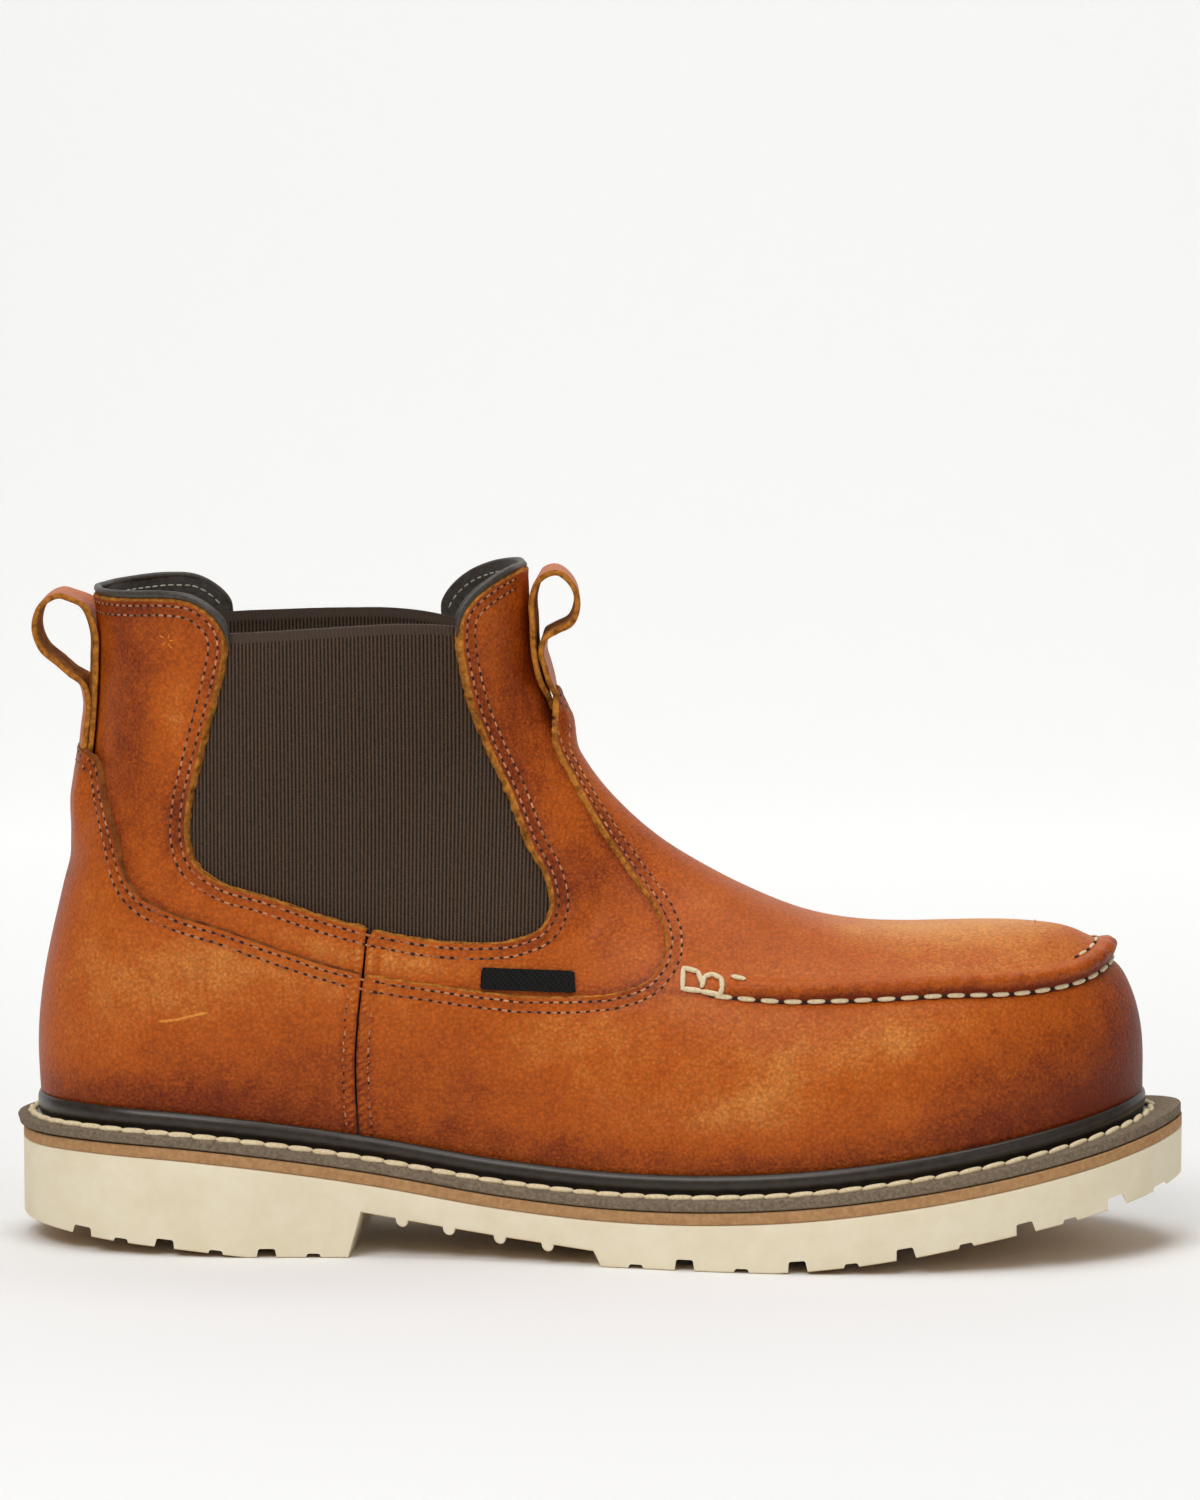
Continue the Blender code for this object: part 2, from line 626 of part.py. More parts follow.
def make_welt(parts, material):
    """Plate under the upper with a rounded bead that stands against the leather all round."""
    panels = last_surface(PANEL_PROUD, UPPER_SEAT + PANEL_HEM)
    skin = BVHTree.FromBMesh(panels)
    panels.free()
    shares = seat_shares()
    outer, inner = [[at_share(FEATHER[side], share) for share in shares] for side in ("outer", "inner")]
    feather = np.array(outer + inner[-2:0:-1])
    ahead = np.roll(feather, -1, axis=0) - np.roll(feather, 1, axis=0)
    ahead /= np.linalg.norm(ahead, axis=1)[:, None]
    outward = np.column_stack((-ahead[:, 1], ahead[:, 0]))
    mesh = bmesh.new()
    rings = [welt_section(mesh, skin, *pair) for pair in zip(feather, outward)]
    for ring, following in zip(rings, rings[1:] + rings[:1]):
        for a, b, c, d in zip(ring[:-1], ring[1:], following[1:], following[:-1]):
            mesh.faces.new((a, b, c, d))
    last = len(outer) - 1
    for side in (0, -1):
        for k in range(last):
            corners = [rings[k][side], rings[k + 1][side], rings[-k - 1][side], rings[-k][side]]
            mesh.faces.new(dict.fromkeys(corners))
    bmesh.ops.recalc_face_normals(mesh, faces=mesh.faces)
    return mesh_object("welt", mesh, parts, material)


def welt_section(mesh, skin, foot, outward):
    """Points of the welt's cross section at one place of the feather line, from below round to the top."""
    reach = float(smooth(WELT_REACH, foot[0])[0])
    top = WELT_TOP + BEAD_HEIGHT
    far = 25.0

    def place(off, up):
        x, y = foot + outward * off
        return x, y, rocker(x) + up

    def stand_off(up):
        """How far the upper's skin stands out of the feather line at a height."""
        start = Vector((*(foot + outward * far), rocker(foot[0]) + up))
        hit = skin.ray_cast(start, Vector((*-outward, 0.0)))[0]
        return far - (hit - start).length

    face = BEAD_CLEARANCE + max(stand_off(WELT_TOP + share * BEAD_HEIGHT) for share in (0.3, 0.6, 1.0))
    profile = (
        (-WELT_LEDGE, WELT_BASE),
        (reach, WELT_BASE),
        (reach, WELT_TOP),
        (face + BEAD_WIDTH + 0.6, WELT_TOP),
        (face + BEAD_WIDTH, top - 3.2),
        (face + BEAD_WIDTH * 0.72, top - 0.8),
        (face + BEAD_WIDTH * 0.3, top),
        (face, top - 0.9),
        (face, WELT_TOP),
        (-WELT_LEDGE, WELT_TOP),
    )
    return [mesh.verts.new(place(off, up)) for off, up in profile]


def make_upper(parts, cutters, material):
    """One leather wall, with the counter and vamp standing proud of the shaft and the gore cut out."""
    panel_edge = [tuple(point) for point in rounded(PANEL_EDGE, 2)]
    panel_region = [*panel_edge, (190.0, 156.0), (190.0, -20.0), (-190.0, -20.0), (-190.0, 137.0)]
    form = wall(PANEL_PROUD, PANEL_PROUD + PANEL_SUNK, UPPER_SEAT + PANEL_HEM, with_seam=True)
    panels = hide_as_cutter(mesh_object("panel_form", form, cutters))
    add_boolean(panels, "INTERSECT", prism("panel_region", [(-FAR, panel_region), (FAR, panel_region)], cutters))
    topline = [tuple(point) for point in rounded(TOPLINE, 2)]
    above = [*topline, (TOPLINE[-1][0], 230.0), (TOPLINE[0][0], 230.0)]
    upper = mesh_object("upper", wall(0.0, LEATHER), parts, material)
    add_boolean(upper, "UNION", panels)
    outer, inner = leaned(above, 0.0), leaned(above, 1.0)
    stops = [(-FAR, outer), (-CROSSING, outer), (CROSSING, inner), (FAR, inner)]
    add_boolean(upper, "DIFFERENCE", prism("topline_region", stops, cutters))
    return upper


def make_gore(name, side, parts, cutters, material):
    """Elastic panel that lies behind the leather, reaching past the gore's cut edge all round."""
    edge = widened(rounded(TOPLINE[GORE_FIRST : GORE_LAST + 1], 2), -GORE_MARGIN)
    below = [tuple(point) for point in edge if point[1] < GORE_TOP - 2.0]
    region = [*below, (below[-1][0], GORE_TOP), (below[0][0], GORE_TOP)]
    gore = mesh_object(name, wall(-(LEATHER + GORE_CLEARANCE), GORE_THICKNESS), parts, material)
    stops = [(OUTWARD[side] * y, leaned(region, SIDE_SHARE[side])) for y in (CROSSING, FAR)]
    add_boolean(gore, "INTERSECT", prism(name + "_region", stops, cutters))
    return gore


def tube(name, points, radius, parts, material):
    """A round cord of material along a line of points in millimetres."""
    curve = bpy.data.curves.new(name, "CURVE")
    curve.dimensions = "3D"
    curve.bevel_depth = radius * MM
    curve.bevel_resolution = 1
    curve.use_fill_caps = True
    spline = curve.splines.new("POLY")
    spline.points.add(len(points) - 1)
    for slot, point in zip(spline.points, points):
        slot.co = (*(np.array(point) * MM), 1.0)
    item = bpy.data.objects.new(name, curve)
    parts.objects.link(item)
    curve.materials.append(material)
    caps = item.modifiers.new("caps", "WELD")
    caps.merge_threshold = 0.00001
    return item


def collar_roll(name, edge, centre_x, parts, material):
    """Rolled lining that crowns one leather tab, from the outer side round to the inner side."""
    surface = last_surface(-ROLL_INSET)
    skin = BVHTree.FromBMesh(surface)
    surface.free()
    raised = widened(rounded(edge, 3), COLLAR_ROLL_RADIUS + GAP + 0.1)
    halves = {}
    for side in SIDES:
        places = [Vector((x, OUTWARD[side] * FAR, z)) for x, z in leaned(raised, SIDE_SHARE[side])]
        hits = [skin.ray_cast(place, Vector((0, -OUTWARD[side], 0)))[0] for place in places]
        kept = [hit for hit, (_, z) in zip(hits, raised) if hit and abs(hit.y) > CROSSING and z > ROLL_END]
        halves[side] = sorted(kept, key=lambda hit: -abs(hit.x - centre_x))
    middle = []
    for share in (0.2, 0.35, 0.5, 0.65, 0.8):
        start = Vector((2 * centre_x - LEG_MIDDLE, (2 * share - 1) * CROSSING, raised[:, 1].max()))
        hit = skin.ray_cast(start, Vector((LEG_MIDDLE - centre_x, 0, 0)))[0]
        middle.append((hit.x, hit.y, np.interp(hit.x, *leaned(raised, share).T)))
    return tube(name, [*halves["outer"], *middle, *halves["inner"][::-1]], COLLAR_ROLL_RADIUS, parts, material)


def make_strap(name, path, parts, material):
    """Leather strap folded into a pull loop: its edge-on outline carried across the strap's width."""
    middle = rounded(path, 3)
    left = widened(middle, STRAP_THICKNESS / 2)
    right = widened(middle, -STRAP_THICKNESS / 2)
    outline = [*left, *right[::-1]]
    return prism(name, [(across * STRAP_WIDTH / 2, outline) for across in (-1, 1)], parts, material)


def make_side_tab(parts, cutters, material):
    """Woven tab that lies on the shaft and tucks in at the vamp's edge."""
    tab = mesh_object("side_tab", wall(GAP + TAB_THICKNESS, TAB_THICKNESS), parts, material)
    add_boolean(tab, "INTERSECT", prism("side_tab_region", [(-FAR, SIDE_TAB), (-CROSSING, SIDE_TAB)], cutters))
    return tab


def main():
    clear_scene()
    parts = new_collection("chelsea_work_boot")
    cutters = new_collection("cutters")
    make_outsole(parts, cutters, new_material("cream_rubber", CREAM_RUBBER, 0.6))
    make_midsole(parts, new_material("tan_midsole", TAN_MIDSOLE, 0.7))
    make_welt(parts, new_material("brown_rubber", BROWN_RUBBER, 0.45))
    make_insole(parts, new_material("insole_brown", INSOLE_BROWN, 0.9))
    make_upper(parts, cutters, new_material("tan_leather", TAN_LEATHER, 0.45))
    for side in SIDES:
        elastic = new_material("brown_elastic_" + side, BROWN_ELASTIC, 0.85)
        make_gore("gore_" + side, side, parts, cutters, elastic)
    ends = (
        ("back", TOPLINE[: GORE_FIRST + 1], BACK_LINE[-1][0] + ROLL_INSET, BACK_STRAP),
        ("front", TOPLINE[GORE_LAST:], DORSAL_LINE[-1][0] - ROLL_INSET, FRONT_STRAP),
    )
    for end, edge, centre_x, strap in ends:
        lining = new_material("dark_leather_" + end, DARK_LEATHER, 0.5)
        collar_roll("collar_roll_" + end, edge, centre_x, parts, lining)
        strap_leather = new_material("tan_strap_" + end, TAN_LEATHER, 0.5)
        make_strap("pull_loop_" + end, strap, parts, strap_leather)
    make_side_tab(parts, cutters, new_material("black_tape", BLACK_TAPE, 0.8))


main()
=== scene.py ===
# %% [markdown]
# # A chelsea work boot in pull-up leather
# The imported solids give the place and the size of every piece, and this lesson dresses them. The leather is
# laid on the last as one fine net of points, from which each panel is cut. The sole, the welt and the
# straps are lofted again with more points and softer edges. Stitches, raw edges and grain come last.

# %% Load the frame
import math

import bmesh
import bpy
import numpy as np
from mathutils import Euler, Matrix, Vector, noise
from mathutils.bvhtree import BVHTree
from mathutils.kdtree import KDTree


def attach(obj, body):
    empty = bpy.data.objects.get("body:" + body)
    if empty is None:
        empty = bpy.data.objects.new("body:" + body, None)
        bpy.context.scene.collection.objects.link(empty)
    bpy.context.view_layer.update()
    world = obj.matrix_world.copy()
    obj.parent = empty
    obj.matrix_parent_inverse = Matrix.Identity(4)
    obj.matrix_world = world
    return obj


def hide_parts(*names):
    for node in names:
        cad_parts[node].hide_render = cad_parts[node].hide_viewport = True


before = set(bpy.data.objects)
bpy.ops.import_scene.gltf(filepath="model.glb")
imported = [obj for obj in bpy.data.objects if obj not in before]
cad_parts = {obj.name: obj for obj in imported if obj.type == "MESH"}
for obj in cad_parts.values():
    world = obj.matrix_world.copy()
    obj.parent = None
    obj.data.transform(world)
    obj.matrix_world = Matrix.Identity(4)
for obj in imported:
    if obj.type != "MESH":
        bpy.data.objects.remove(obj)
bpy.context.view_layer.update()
MM = 0.001

# %% [markdown]
# ## The camera and the light
# The photograph was taken with a long lens a little above the floor, turned four degrees towards the toe,
# so the camera stands there too. A product photographer would light the boot with large soft boxes on a
# white sweep. The floor here is such a sweep, and the lights are big, so that the oily leather shows broad
# highlights.

# %% Camera
CAMERA_DISTANCE = 1770.0
CAMERA_HEIGHT = 320.0
CAMERA_TURN = math.radians(4.0)
AIM_HEIGHT = 133.4
LENS = 157.7
CLIP_END = 50000.0
scene = bpy.context.scene


def aim(thing, target):
    """Turns a camera or a light so that it looks at a point in millimetres."""
    direction = Vector(target) * MM - thing.location
    thing.rotation_euler = direction.to_track_quat("-Z", "Y").to_euler()


camera = bpy.data.objects.new("camera", bpy.data.cameras.new("camera"))
camera.data.lens = LENS
camera.data.clip_end = CLIP_END * MM
camera.location = (
    CAMERA_DISTANCE * math.sin(CAMERA_TURN) * MM,
    -CAMERA_DISTANCE * math.cos(CAMERA_TURN) * MM,
    CAMERA_HEIGHT * MM,
)
aim(camera, (0, 0, AIM_HEIGHT))
scene.collection.objects.link(camera)
scene.camera = camera
scene.view_settings.view_transform = "Standard"
print("camera at", [round(value, 3) for value in camera.location])

# %% Soft boxes
# Columns: name, place in millimetres, aim in millimetres, width and height in millimetres, watts.
SOFT_BOXES = (
    ("key_box", (-650, -1500, 1700), (0, 0, 60), 1300, 1000, 24.0),
    ("fill_box", (1300, -1500, 900), (60, 0, 70), 1100, 1100, 2.5),
    ("top_box", (100, 0, 1700), (0, 0, 80), 1500, 1100, 15.0),
)
# The room's own light is weak and a little warm.
AMBIENT, AMBIENT_COLOUR = 0.22, (1.0, 0.985, 0.96, 1.0)


def add_soft_box(name, place, target, width, height, watts):
    """A rectangular area light that faces a point of the boot."""
    data = bpy.data.lights.new(name, "AREA")
    data.shape = "RECTANGLE"
    data.size = width * MM
    data.size_y = height * MM
    data.energy = watts
    light = bpy.data.objects.new(name, data)
    light.location = Vector(place) * MM
    aim(light, target)
    scene.collection.objects.link(light)


for row in SOFT_BOXES:
    add_soft_box(*row)
world = bpy.data.worlds.new("studio")
world.use_nodes = True
ambient = world.node_tree.nodes["Background"].inputs
ambient["Color"].default_value = AMBIENT_COLOUR
ambient["Strength"].default_value = AMBIENT
scene.world = world
print(len(SOFT_BOXES), "soft boxes")

# %% [markdown]
# ## Helpers for meshes and materials
# Nearly every piece here is a bent sheet: leather, elastic, tape, and the skin of the sole. Each one starts
# as a flat grid whose vertices are then moved to rows of points, which keeps the faces even and the shading
# smooth. Points are in millimetres until the mesh becomes a piece.

# %% Mesh helpers
# Points nearer to each other than these, in millimetres, are joined.
WELD, CLOSE_WELD = 0.02, 0.001


def grid_mesh(points, mesh=None):
    """A grid of faces with its vertices at rows of points. It may be added to a mesh that is being made."""
    rows, columns = points.shape[:2]
    mesh = mesh or bmesh.new()
    grid = bmesh.ops.create_grid(mesh, x_segments=columns - 1, y_segments=rows - 1, size=1.0)
    for vertex, point in zip(grid["verts"], points.reshape(-1, 3)):
        vertex.co = point
    mesh.verts.index_update()
    return mesh


def add_piece(name, data, materials, node=None, sharp=45):
    """Makes an object of a mesh in metres, gives it its finish and ties it to the frame."""
    for material in materials:
        data.materials.append(material)
    data.shade_smooth()
    data.set_sharp_from_angle(angle=math.radians(sharp))
    piece = bpy.data.objects.new(name, data)
    scene.collection.objects.link(piece)
    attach(piece, "root")
    if node:
        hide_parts(node)
    data.calc_loop_triangles()
    print(name, len(data.loop_triangles), "triangles")
    return piece


def to_metres(name, mesh):
    """Turns a finished bmesh in millimetres into mesh data in metres."""
    bmesh.ops.scale(mesh, vec=(MM, MM, MM), verts=mesh.verts)
    data = bpy.data.meshes.new(name)
    mesh.to_mesh(data)
    mesh.free()
    return data


def outwards(mesh, weld=WELD):
    """Closes seams and poles, and turns all faces outwards."""
    bmesh.ops.remove_doubles(mesh, verts=mesh.verts, dist=weld)
    bmesh.ops.recalc_face_normals(mesh, faces=mesh.faces)
    return mesh


def capped(mesh, sides):
    """Fills open ends of up to so many sides, and turns all faces outwards."""
    bmesh.ops.holes_fill(mesh, edges=mesh.edges, sides=sides)
    bmesh.ops.recalc_face_normals(mesh, faces=mesh.faces)
    return mesh


print("points are joined within", WELD, "mm")

# %% Material helpers


def hex_colour(code):
    """Linear colour of an sRGB hex value."""
    parts = [int(code[k : k + 2], 16) / 255 for k in (0, 2, 4)]
    linear = [part / 12.92 if part <= 0.04045 else ((part + 0.055) / 1.055) ** 2.4 for part in parts]
    return (*linear, 1.0)


def add_node(tree, kind, settings=None, sockets=None):
    """Adds a node, with its settings, and with its sockets set to a value or linked to another's output."""
    node = tree.nodes.new(kind)
    for name, value in (settings or {}).items():
        setattr(node, name, value)
    for key, value in (sockets or {}).items():
        if isinstance(value, bpy.types.NodeSocket):
            tree.links.new(value, node.inputs[key])
        else:
            node.inputs[key].default_value = value
    return node


def new_material(name, **constants):
    """A material with its shader's fixed values set, and the Object coordinates that its patterns read."""
    material = bpy.data.materials.new(name)
    material.use_nodes = True
    tree = material.node_tree
    shader = tree.nodes["Principled BSDF"]
    for socket, value in constants.items():
        shader.inputs[socket.replace("_", " ")].default_value = value
    place = add_node(tree, "ShaderNodeTexCoord").outputs["Object"]
    return material, tree, shader, place


def per_mm(size):
    """Texture scale for a pattern whose features measure this many millimetres."""
    return 1.0 / (size * MM)


print("a pattern of 1 mm has the scale", per_mm(1.0))

# %% Nodes that the materials share


def pattern(tree, kind, place, size, **sockets):
    """Outputs of a texture whose features have a size in millimetres."""
    sockets = {"Vector": place, "Scale": per_mm(size), **sockets}
    return add_node(tree, "ShaderNodeTex" + kind, None, sockets).outputs


def maths(tree, operation, *terms):
    """The result of one operation on values and sockets."""
    return add_node(tree, "ShaderNodeMath", {"operation": operation}, dict(enumerate(terms))).outputs[0]


def spread(tree, value, low, high, to=(0.0, 1.0), kind="LINEAR"):
    """A value stretched from one range to another, and held at its ends."""
    sockets = {"Value": value, "From Min": low, "From Max": high, "To Min": to[0], "To Max": to[1]}
    return add_node(tree, "ShaderNodeMapRange", {"interpolation_type": kind}, sockets).outputs[0]


def mixed(tree, share, low, high):
    """A colour between two others."""
    return add_node(tree, "ShaderNodeMix", {"data_type": "RGBA"}, {0: share, 6: low, 7: high}).outputs[2]


def uneven(tree, height, strength, depth, under=None):
    """A normal that follows a relief, with its depth in millimetres, over another relief if there is one."""
    sockets = {"Height": height, "Strength": strength, "Distance": depth * MM}
    if under:
        sockets["Normal"] = under
    return add_node(tree, "ShaderNodeBump", None, sockets).outputs["Normal"]


def point_value(tree, name):
    """A value that was stored on the mesh's points."""
    return add_node(tree, "ShaderNodeAttribute", {"attribute_name": name}).outputs["Fac"]


def finish_with(tree, shader, **sockets):
    """Links outputs to sockets of the shader."""
    for socket, output in sockets.items():
        tree.links.new(output, shader.inputs[socket.replace("_", " ")])


print("material nodes ready")

# %% [markdown]
# ## The measures of the last
# A shoe is built round a last, a solid form of the foot. The tables are the part's own driving sizes. Each
# section of the last pairs a point of the top centre line with a point of the feather line, where the
# leather meets the sole, or of the back centre line. A smooth curve through each column gives every section
# between.

# %% Sole and feather line
SOLE_LENGTH = 316.0
BALL_WIDTH = 108.0
# Columns: along, as a share of half the length; across, as a share of half the ball width.
SOLE_OUTLINE = (
    (-1.000, 0.000), (-0.960, -0.370), (-0.850, -0.635), (-0.665, -0.735), (-0.410, -0.705),
    (-0.175, -0.750), (0.030, -0.865), (0.220, -0.965), (0.390, -1.000), (0.570, -0.960),
    (0.735, -0.820), (0.875, -0.580), (0.965, -0.265), (1.000, 0.080), (0.965, 0.420),
    (0.885, 0.710), (0.755, 0.905), (0.590, 1.000), (0.420, 0.965), (0.240, 0.830),
    (0.050, 0.675), (-0.165, 0.600), (-0.390, 0.650), (-0.665, 0.735), (-0.850, 0.635),
    (-0.960, 0.370),
)
# Columns: x, reach of the welt past the leather.
WELT_REACH = ((-158, 6.0), (-100, 7.2), (0, 8.2), (70, 8.8), (158, 11.0))
# Columns: x, height of the outsole's top.
ROCKER = (
    (-158, 27.0), (-132, 27.0), (-104, 25.4), (-61, 20.0), (-23, 14.3), (9, 12.2), (36, 12.6),
    (57, 14.0), (83, 17.1), (110, 21.4), (136, 26.6), (158, 32.0),
)


def smooth(rows, at):
    """Values at places along a smooth curve through a table's rows, whose first column is the place."""
    rows = np.asarray(rows, float)
    places, values = rows[:, 0], rows[:, 1:]
    slopes = np.gradient(values, places, axis=0)
    at = np.atleast_1d(np.asarray(at, float))
    i = np.clip(np.searchsorted(places, at) - 1, 0, len(places) - 2)
    span = (places[i + 1] - places[i])[:, None]
    t = (at - places[i])[:, None] / span
    start = values[i] * (2 * t**3 - 3 * t**2 + 1) + span * slopes[i] * (t**3 - 2 * t**2 + t)
    end = values[i + 1] * (3 * t**2 - 2 * t**3) + span * slopes[i + 1] * (t**3 - t**2)
    return start + end


def lengths(points):
    """Distance along a line of points, from its start to each point."""
    steps = np.linalg.norm(np.diff(points, axis=0), axis=1)
    return np.concatenate(([0.0], np.cumsum(steps)))


def rounded(points, steps):
    """A smooth line through the points, with a number of steps in each span."""
    points = np.asarray(points, float)
    rows = np.column_stack((lengths(points), points))
    starts = rows[:-1, 0][:, None]
    spans = np.diff(rows[:, 0])[:, None]
    places = (starts + spans * np.arange(steps) / steps).ravel()
    return smooth(rows, [*places, rows[-1, 0]])


def at_run(line, places):
    """Points at distances along a line."""
    run = lengths(line)
    return np.column_stack([np.interp(places, run, column) for column in line.T])


def at_share(line, share):
    """The point at a share of a line's length."""
    return at_run(line, np.clip(share, 0.0, 1.0) * lengths(line)[-1])[0]


def even(line, step):
    """The same line with its points a given step apart."""
    total = lengths(line)[-1]
    return at_run(line, np.linspace(0.0, total, max(2, int(round(total / step)) + 1)))


def sole_outline():
    """Closed outline of the sole from heel back round the outer side, centred on the origin."""
    points = np.array(SOLE_OUTLINE) * (SOLE_LENGTH / 2, BALL_WIDTH / 2)
    overlap, steps = 3, 60
    looped = np.vstack((points[-overlap:], points, points[: overlap + 1]))
    line = rounded(looped, steps)[overlap * steps : -overlap * steps]
    return line - (line.max(0) + line.min(0)) / 2


def inset(line, distances):
    """The closed line moved inwards by a distance at each point."""
    tangent = np.roll(line[:-1], -1, axis=0) - np.roll(line[:-1], 1, axis=0)
    tangent /= np.linalg.norm(tangent, axis=1)[:, None]
    inward = np.column_stack((-tangent[:, 1], tangent[:, 0]))
    moved = line[:-1] + inward * np.broadcast_to(distances, len(line))[:-1, None]
    return np.vstack((moved, moved[:1]))


def branches(line):
    """The outer and inner halves of a closed outline, each from toe tip to heel back."""
    toe = int(np.argmax(line[:, 0]))
    return {"outer": line[: toe + 1][::-1], "inner": line[toe:]}


def rocker(x):
    """Height of the outsole's top at places along the boot."""
    return smooth(ROCKER, x)[:, 0]


OUTLINE = sole_outline()
REACHES = smooth(WELT_REACH, OUTLINE[:, 0])[:, 0]
FEATHER_LOOP = inset(OUTLINE, REACHES)
FEATHER = branches(FEATHER_LOOP)
SIDES = ("inner", "outer")
OUTWARD = {"outer": -1.0, "inner": 1.0}
print("feather line:", round(lengths(FEATHER["outer"])[-1]), "mm on the outer side")

# %% Sections of the last
# Columns: x, y, z.
DORSAL_LINE = (
    (118.0, 3.6, 85.8), (109.0, 3.2, 86.2), (96.0, 2.8, 85.8), (83.0, 2.4, 85.4), (70.0, 2.0, 85.9),
    (56.0, 1.6, 88.4), (42.0, 1.3, 93.8), (31.0, 1.0, 99.2), (21.0, 0.8, 104.9), (7.5, 0.5, 115.4),
    (-2.4, 0.2, 126.3), (-9.1, 0.0, 137.3), (-14.8, 0.0, 149.0), (-18.2, 0.0, 162.0),
    (-19.2, 0.0, 174.0), (-19.4, 0.0, 191.0),
)
# Columns: x, z.
BACK_LINE = (
    (-152.2, 42.0), (-152.8, 50.0), (-152.4, 60.0), (-151.0, 71.0), (-148.7, 82.3), (-146.0, 93.3),
    (-143.4, 104.4), (-141.3, 115.4), (-139.4, 126.0), (-138.0, 137.0), (-137.0, 149.0),
    (-136.6, 163.0), (-136.8, 169.0), (-138.0, 175.0), (-139.0, 182.0),
)
SECTIONS = (
    # dorsal_at, base_at, leg_half, wide_at, crown, cap
    (0.000, 0.000, -60.0, 0.74, 2.30, 1.00),
    (0.006, 0.045, -60.0, 0.73, 2.30, 1.00),
    (0.022, 0.095, -60.0, 0.71, 2.30, 0.90),
    (0.065, 0.160, -60.0, 0.68, 2.35, 0.55),
    (0.140, 0.240, -60.0, 0.66, 2.40, 0.20),
    (0.270, 0.330, -50.0, 0.66, 2.30, 0.00),
    (0.420, 0.430, -10.0, 0.68, 2.10, 0.00),
    (0.555, 0.540, 26.0, 0.70, 1.95, 0.00),
    (0.645, 0.645, 34.0, 0.66, 1.90, 0.00),
    (0.710, 0.765, 33.5, 0.60, 1.90, 0.00),
    (0.760, 0.880, 32.5, 0.55, 1.95, 0.00),
    (0.785, 0.950, 32.0, 0.53, 2.00, 0.00),
    (0.800, 1.000, 32.0, 0.52, 2.00, 0.00),
    (0.832, 1.200, 32.0, 0.50, 2.05, 0.00),
    (0.872, 1.450, 33.0, 0.50, 2.10, 0.00),
    (0.925, 1.730, 35.0, 0.50, 2.15, 0.00),
    (1.000, 2.000, 37.0, 0.50, 2.20, 0.00),
)
# Height of the leather's lower edge over the outsole's top.
UPPER_SEAT = 6.9
WALL_FLARE = 1.03
# How softly the width of the foot turns into that of the leg.
LEG_BLEND = 3.0
CURVE_POINTS, CENTRE_STEPS = 140, 30
DORSAL = rounded(DORSAL_LINE, CENTRE_STEPS)
HEEL_X = FEATHER["outer"][-1][0]
BACK = rounded(((HEEL_X, rocker(HEEL_X)[0] + UPPER_SEAT), *BACK_LINE), CENTRE_STEPS)


def base_points(share):
    """Where a section ends on each side: on the feather line, or past 1 on the back line."""
    if share <= 1.0:
        ends = {side: at_share(FEATHER[side], share) for side in SIDES}
        return {side: np.array((x, y, rocker(x)[0] + UPPER_SEAT)) for side, (x, y) in ends.items()}
    x, z = at_share(BACK, share - 1.0)
    return {side: np.array((x, 0.0, z)) for side in SIDES}


def feather_y(x, side):
    """Where the feather line of one side stands at places along the boot."""
    half = FEATHER[side][np.argsort(FEATHER[side][:, 0])]
    return np.interp(x, half[:, 0], half[:, 1])


def half_section(place, side):
    """One side of the section at a place in the SECTIONS table, as a dense line from the top to the base."""
    rows = [(number, *row) for number, row in enumerate(SECTIONS)]
    dorsal_at, base_at, leg_half, wide_at, crown, cap = smooth(rows, place)[0]
    top = at_share(DORSAL, dorsal_at)
    bases = base_points(base_at)
    base = bases[side]
    base_middle = (bases["outer"][1] + bases["inner"][1]) / 2
    shift = base[0] - FEATHER[side][-1][0] if base_at > 1.0 else 0.0
    angles = np.linspace(0.0, math.pi / 2, CURVE_POINTS)
    rises = np.linspace(0.0, 1.0, CURVE_POINTS)[1:]
    across = np.sin(angles) ** (2 / crown)
    crown_down = wide_at * (1 - np.clip(np.cos(angles), 0.0, 1.0) ** (2 / crown))
    down = np.concatenate((crown_down, wide_at + (1 - wide_at) * rises))
    forward = (1 - cap) * down + cap * np.concatenate((across, np.ones(len(rises))))
    x = top[0] + (base[0] - top[0]) * forward
    z = top[2] + (base[2] - top[2]) * down
    middle = top[1] + (base_middle - top[1]) * down
    plan = np.abs(feather_y(x[CURVE_POINTS:] - shift, side) - middle[CURVE_POINTS:])
    plan_wide = abs(feather_y(x[CURVE_POINTS - 1] - shift, side) - middle[CURVE_POINTS - 1])
    flared = plan_wide * WALL_FLARE
    wider = (flared + leg_half + math.hypot(flared - leg_half, LEG_BLEND)) / 2
    half = wider if base_at > 0.001 else 0.0
    settle = 1 - rises**2 * (3 - 2 * rises)
    wall = plan + (half - plan_wide) * settle if half else np.zeros(len(rises))
    wall[-1] = abs(base[1] - base_middle)
    y = middle + OUTWARD[side] * np.concatenate((half * across, wall))
    return np.column_stack((x, y, z))


print(len(SECTIONS), "sections, and a back line", round(lengths(BACK)[-1]), "mm long")

# %% [markdown]
# ## One net of points over the whole last
# All leather panels lie on the same form, so one net serves them all. Its rows are sections, spaced evenly
# along the boot. Its columns run from the inner base over the top to the outer base, and they crowd
# together at the raised seam of the moccasin toe, which needs the most detail.

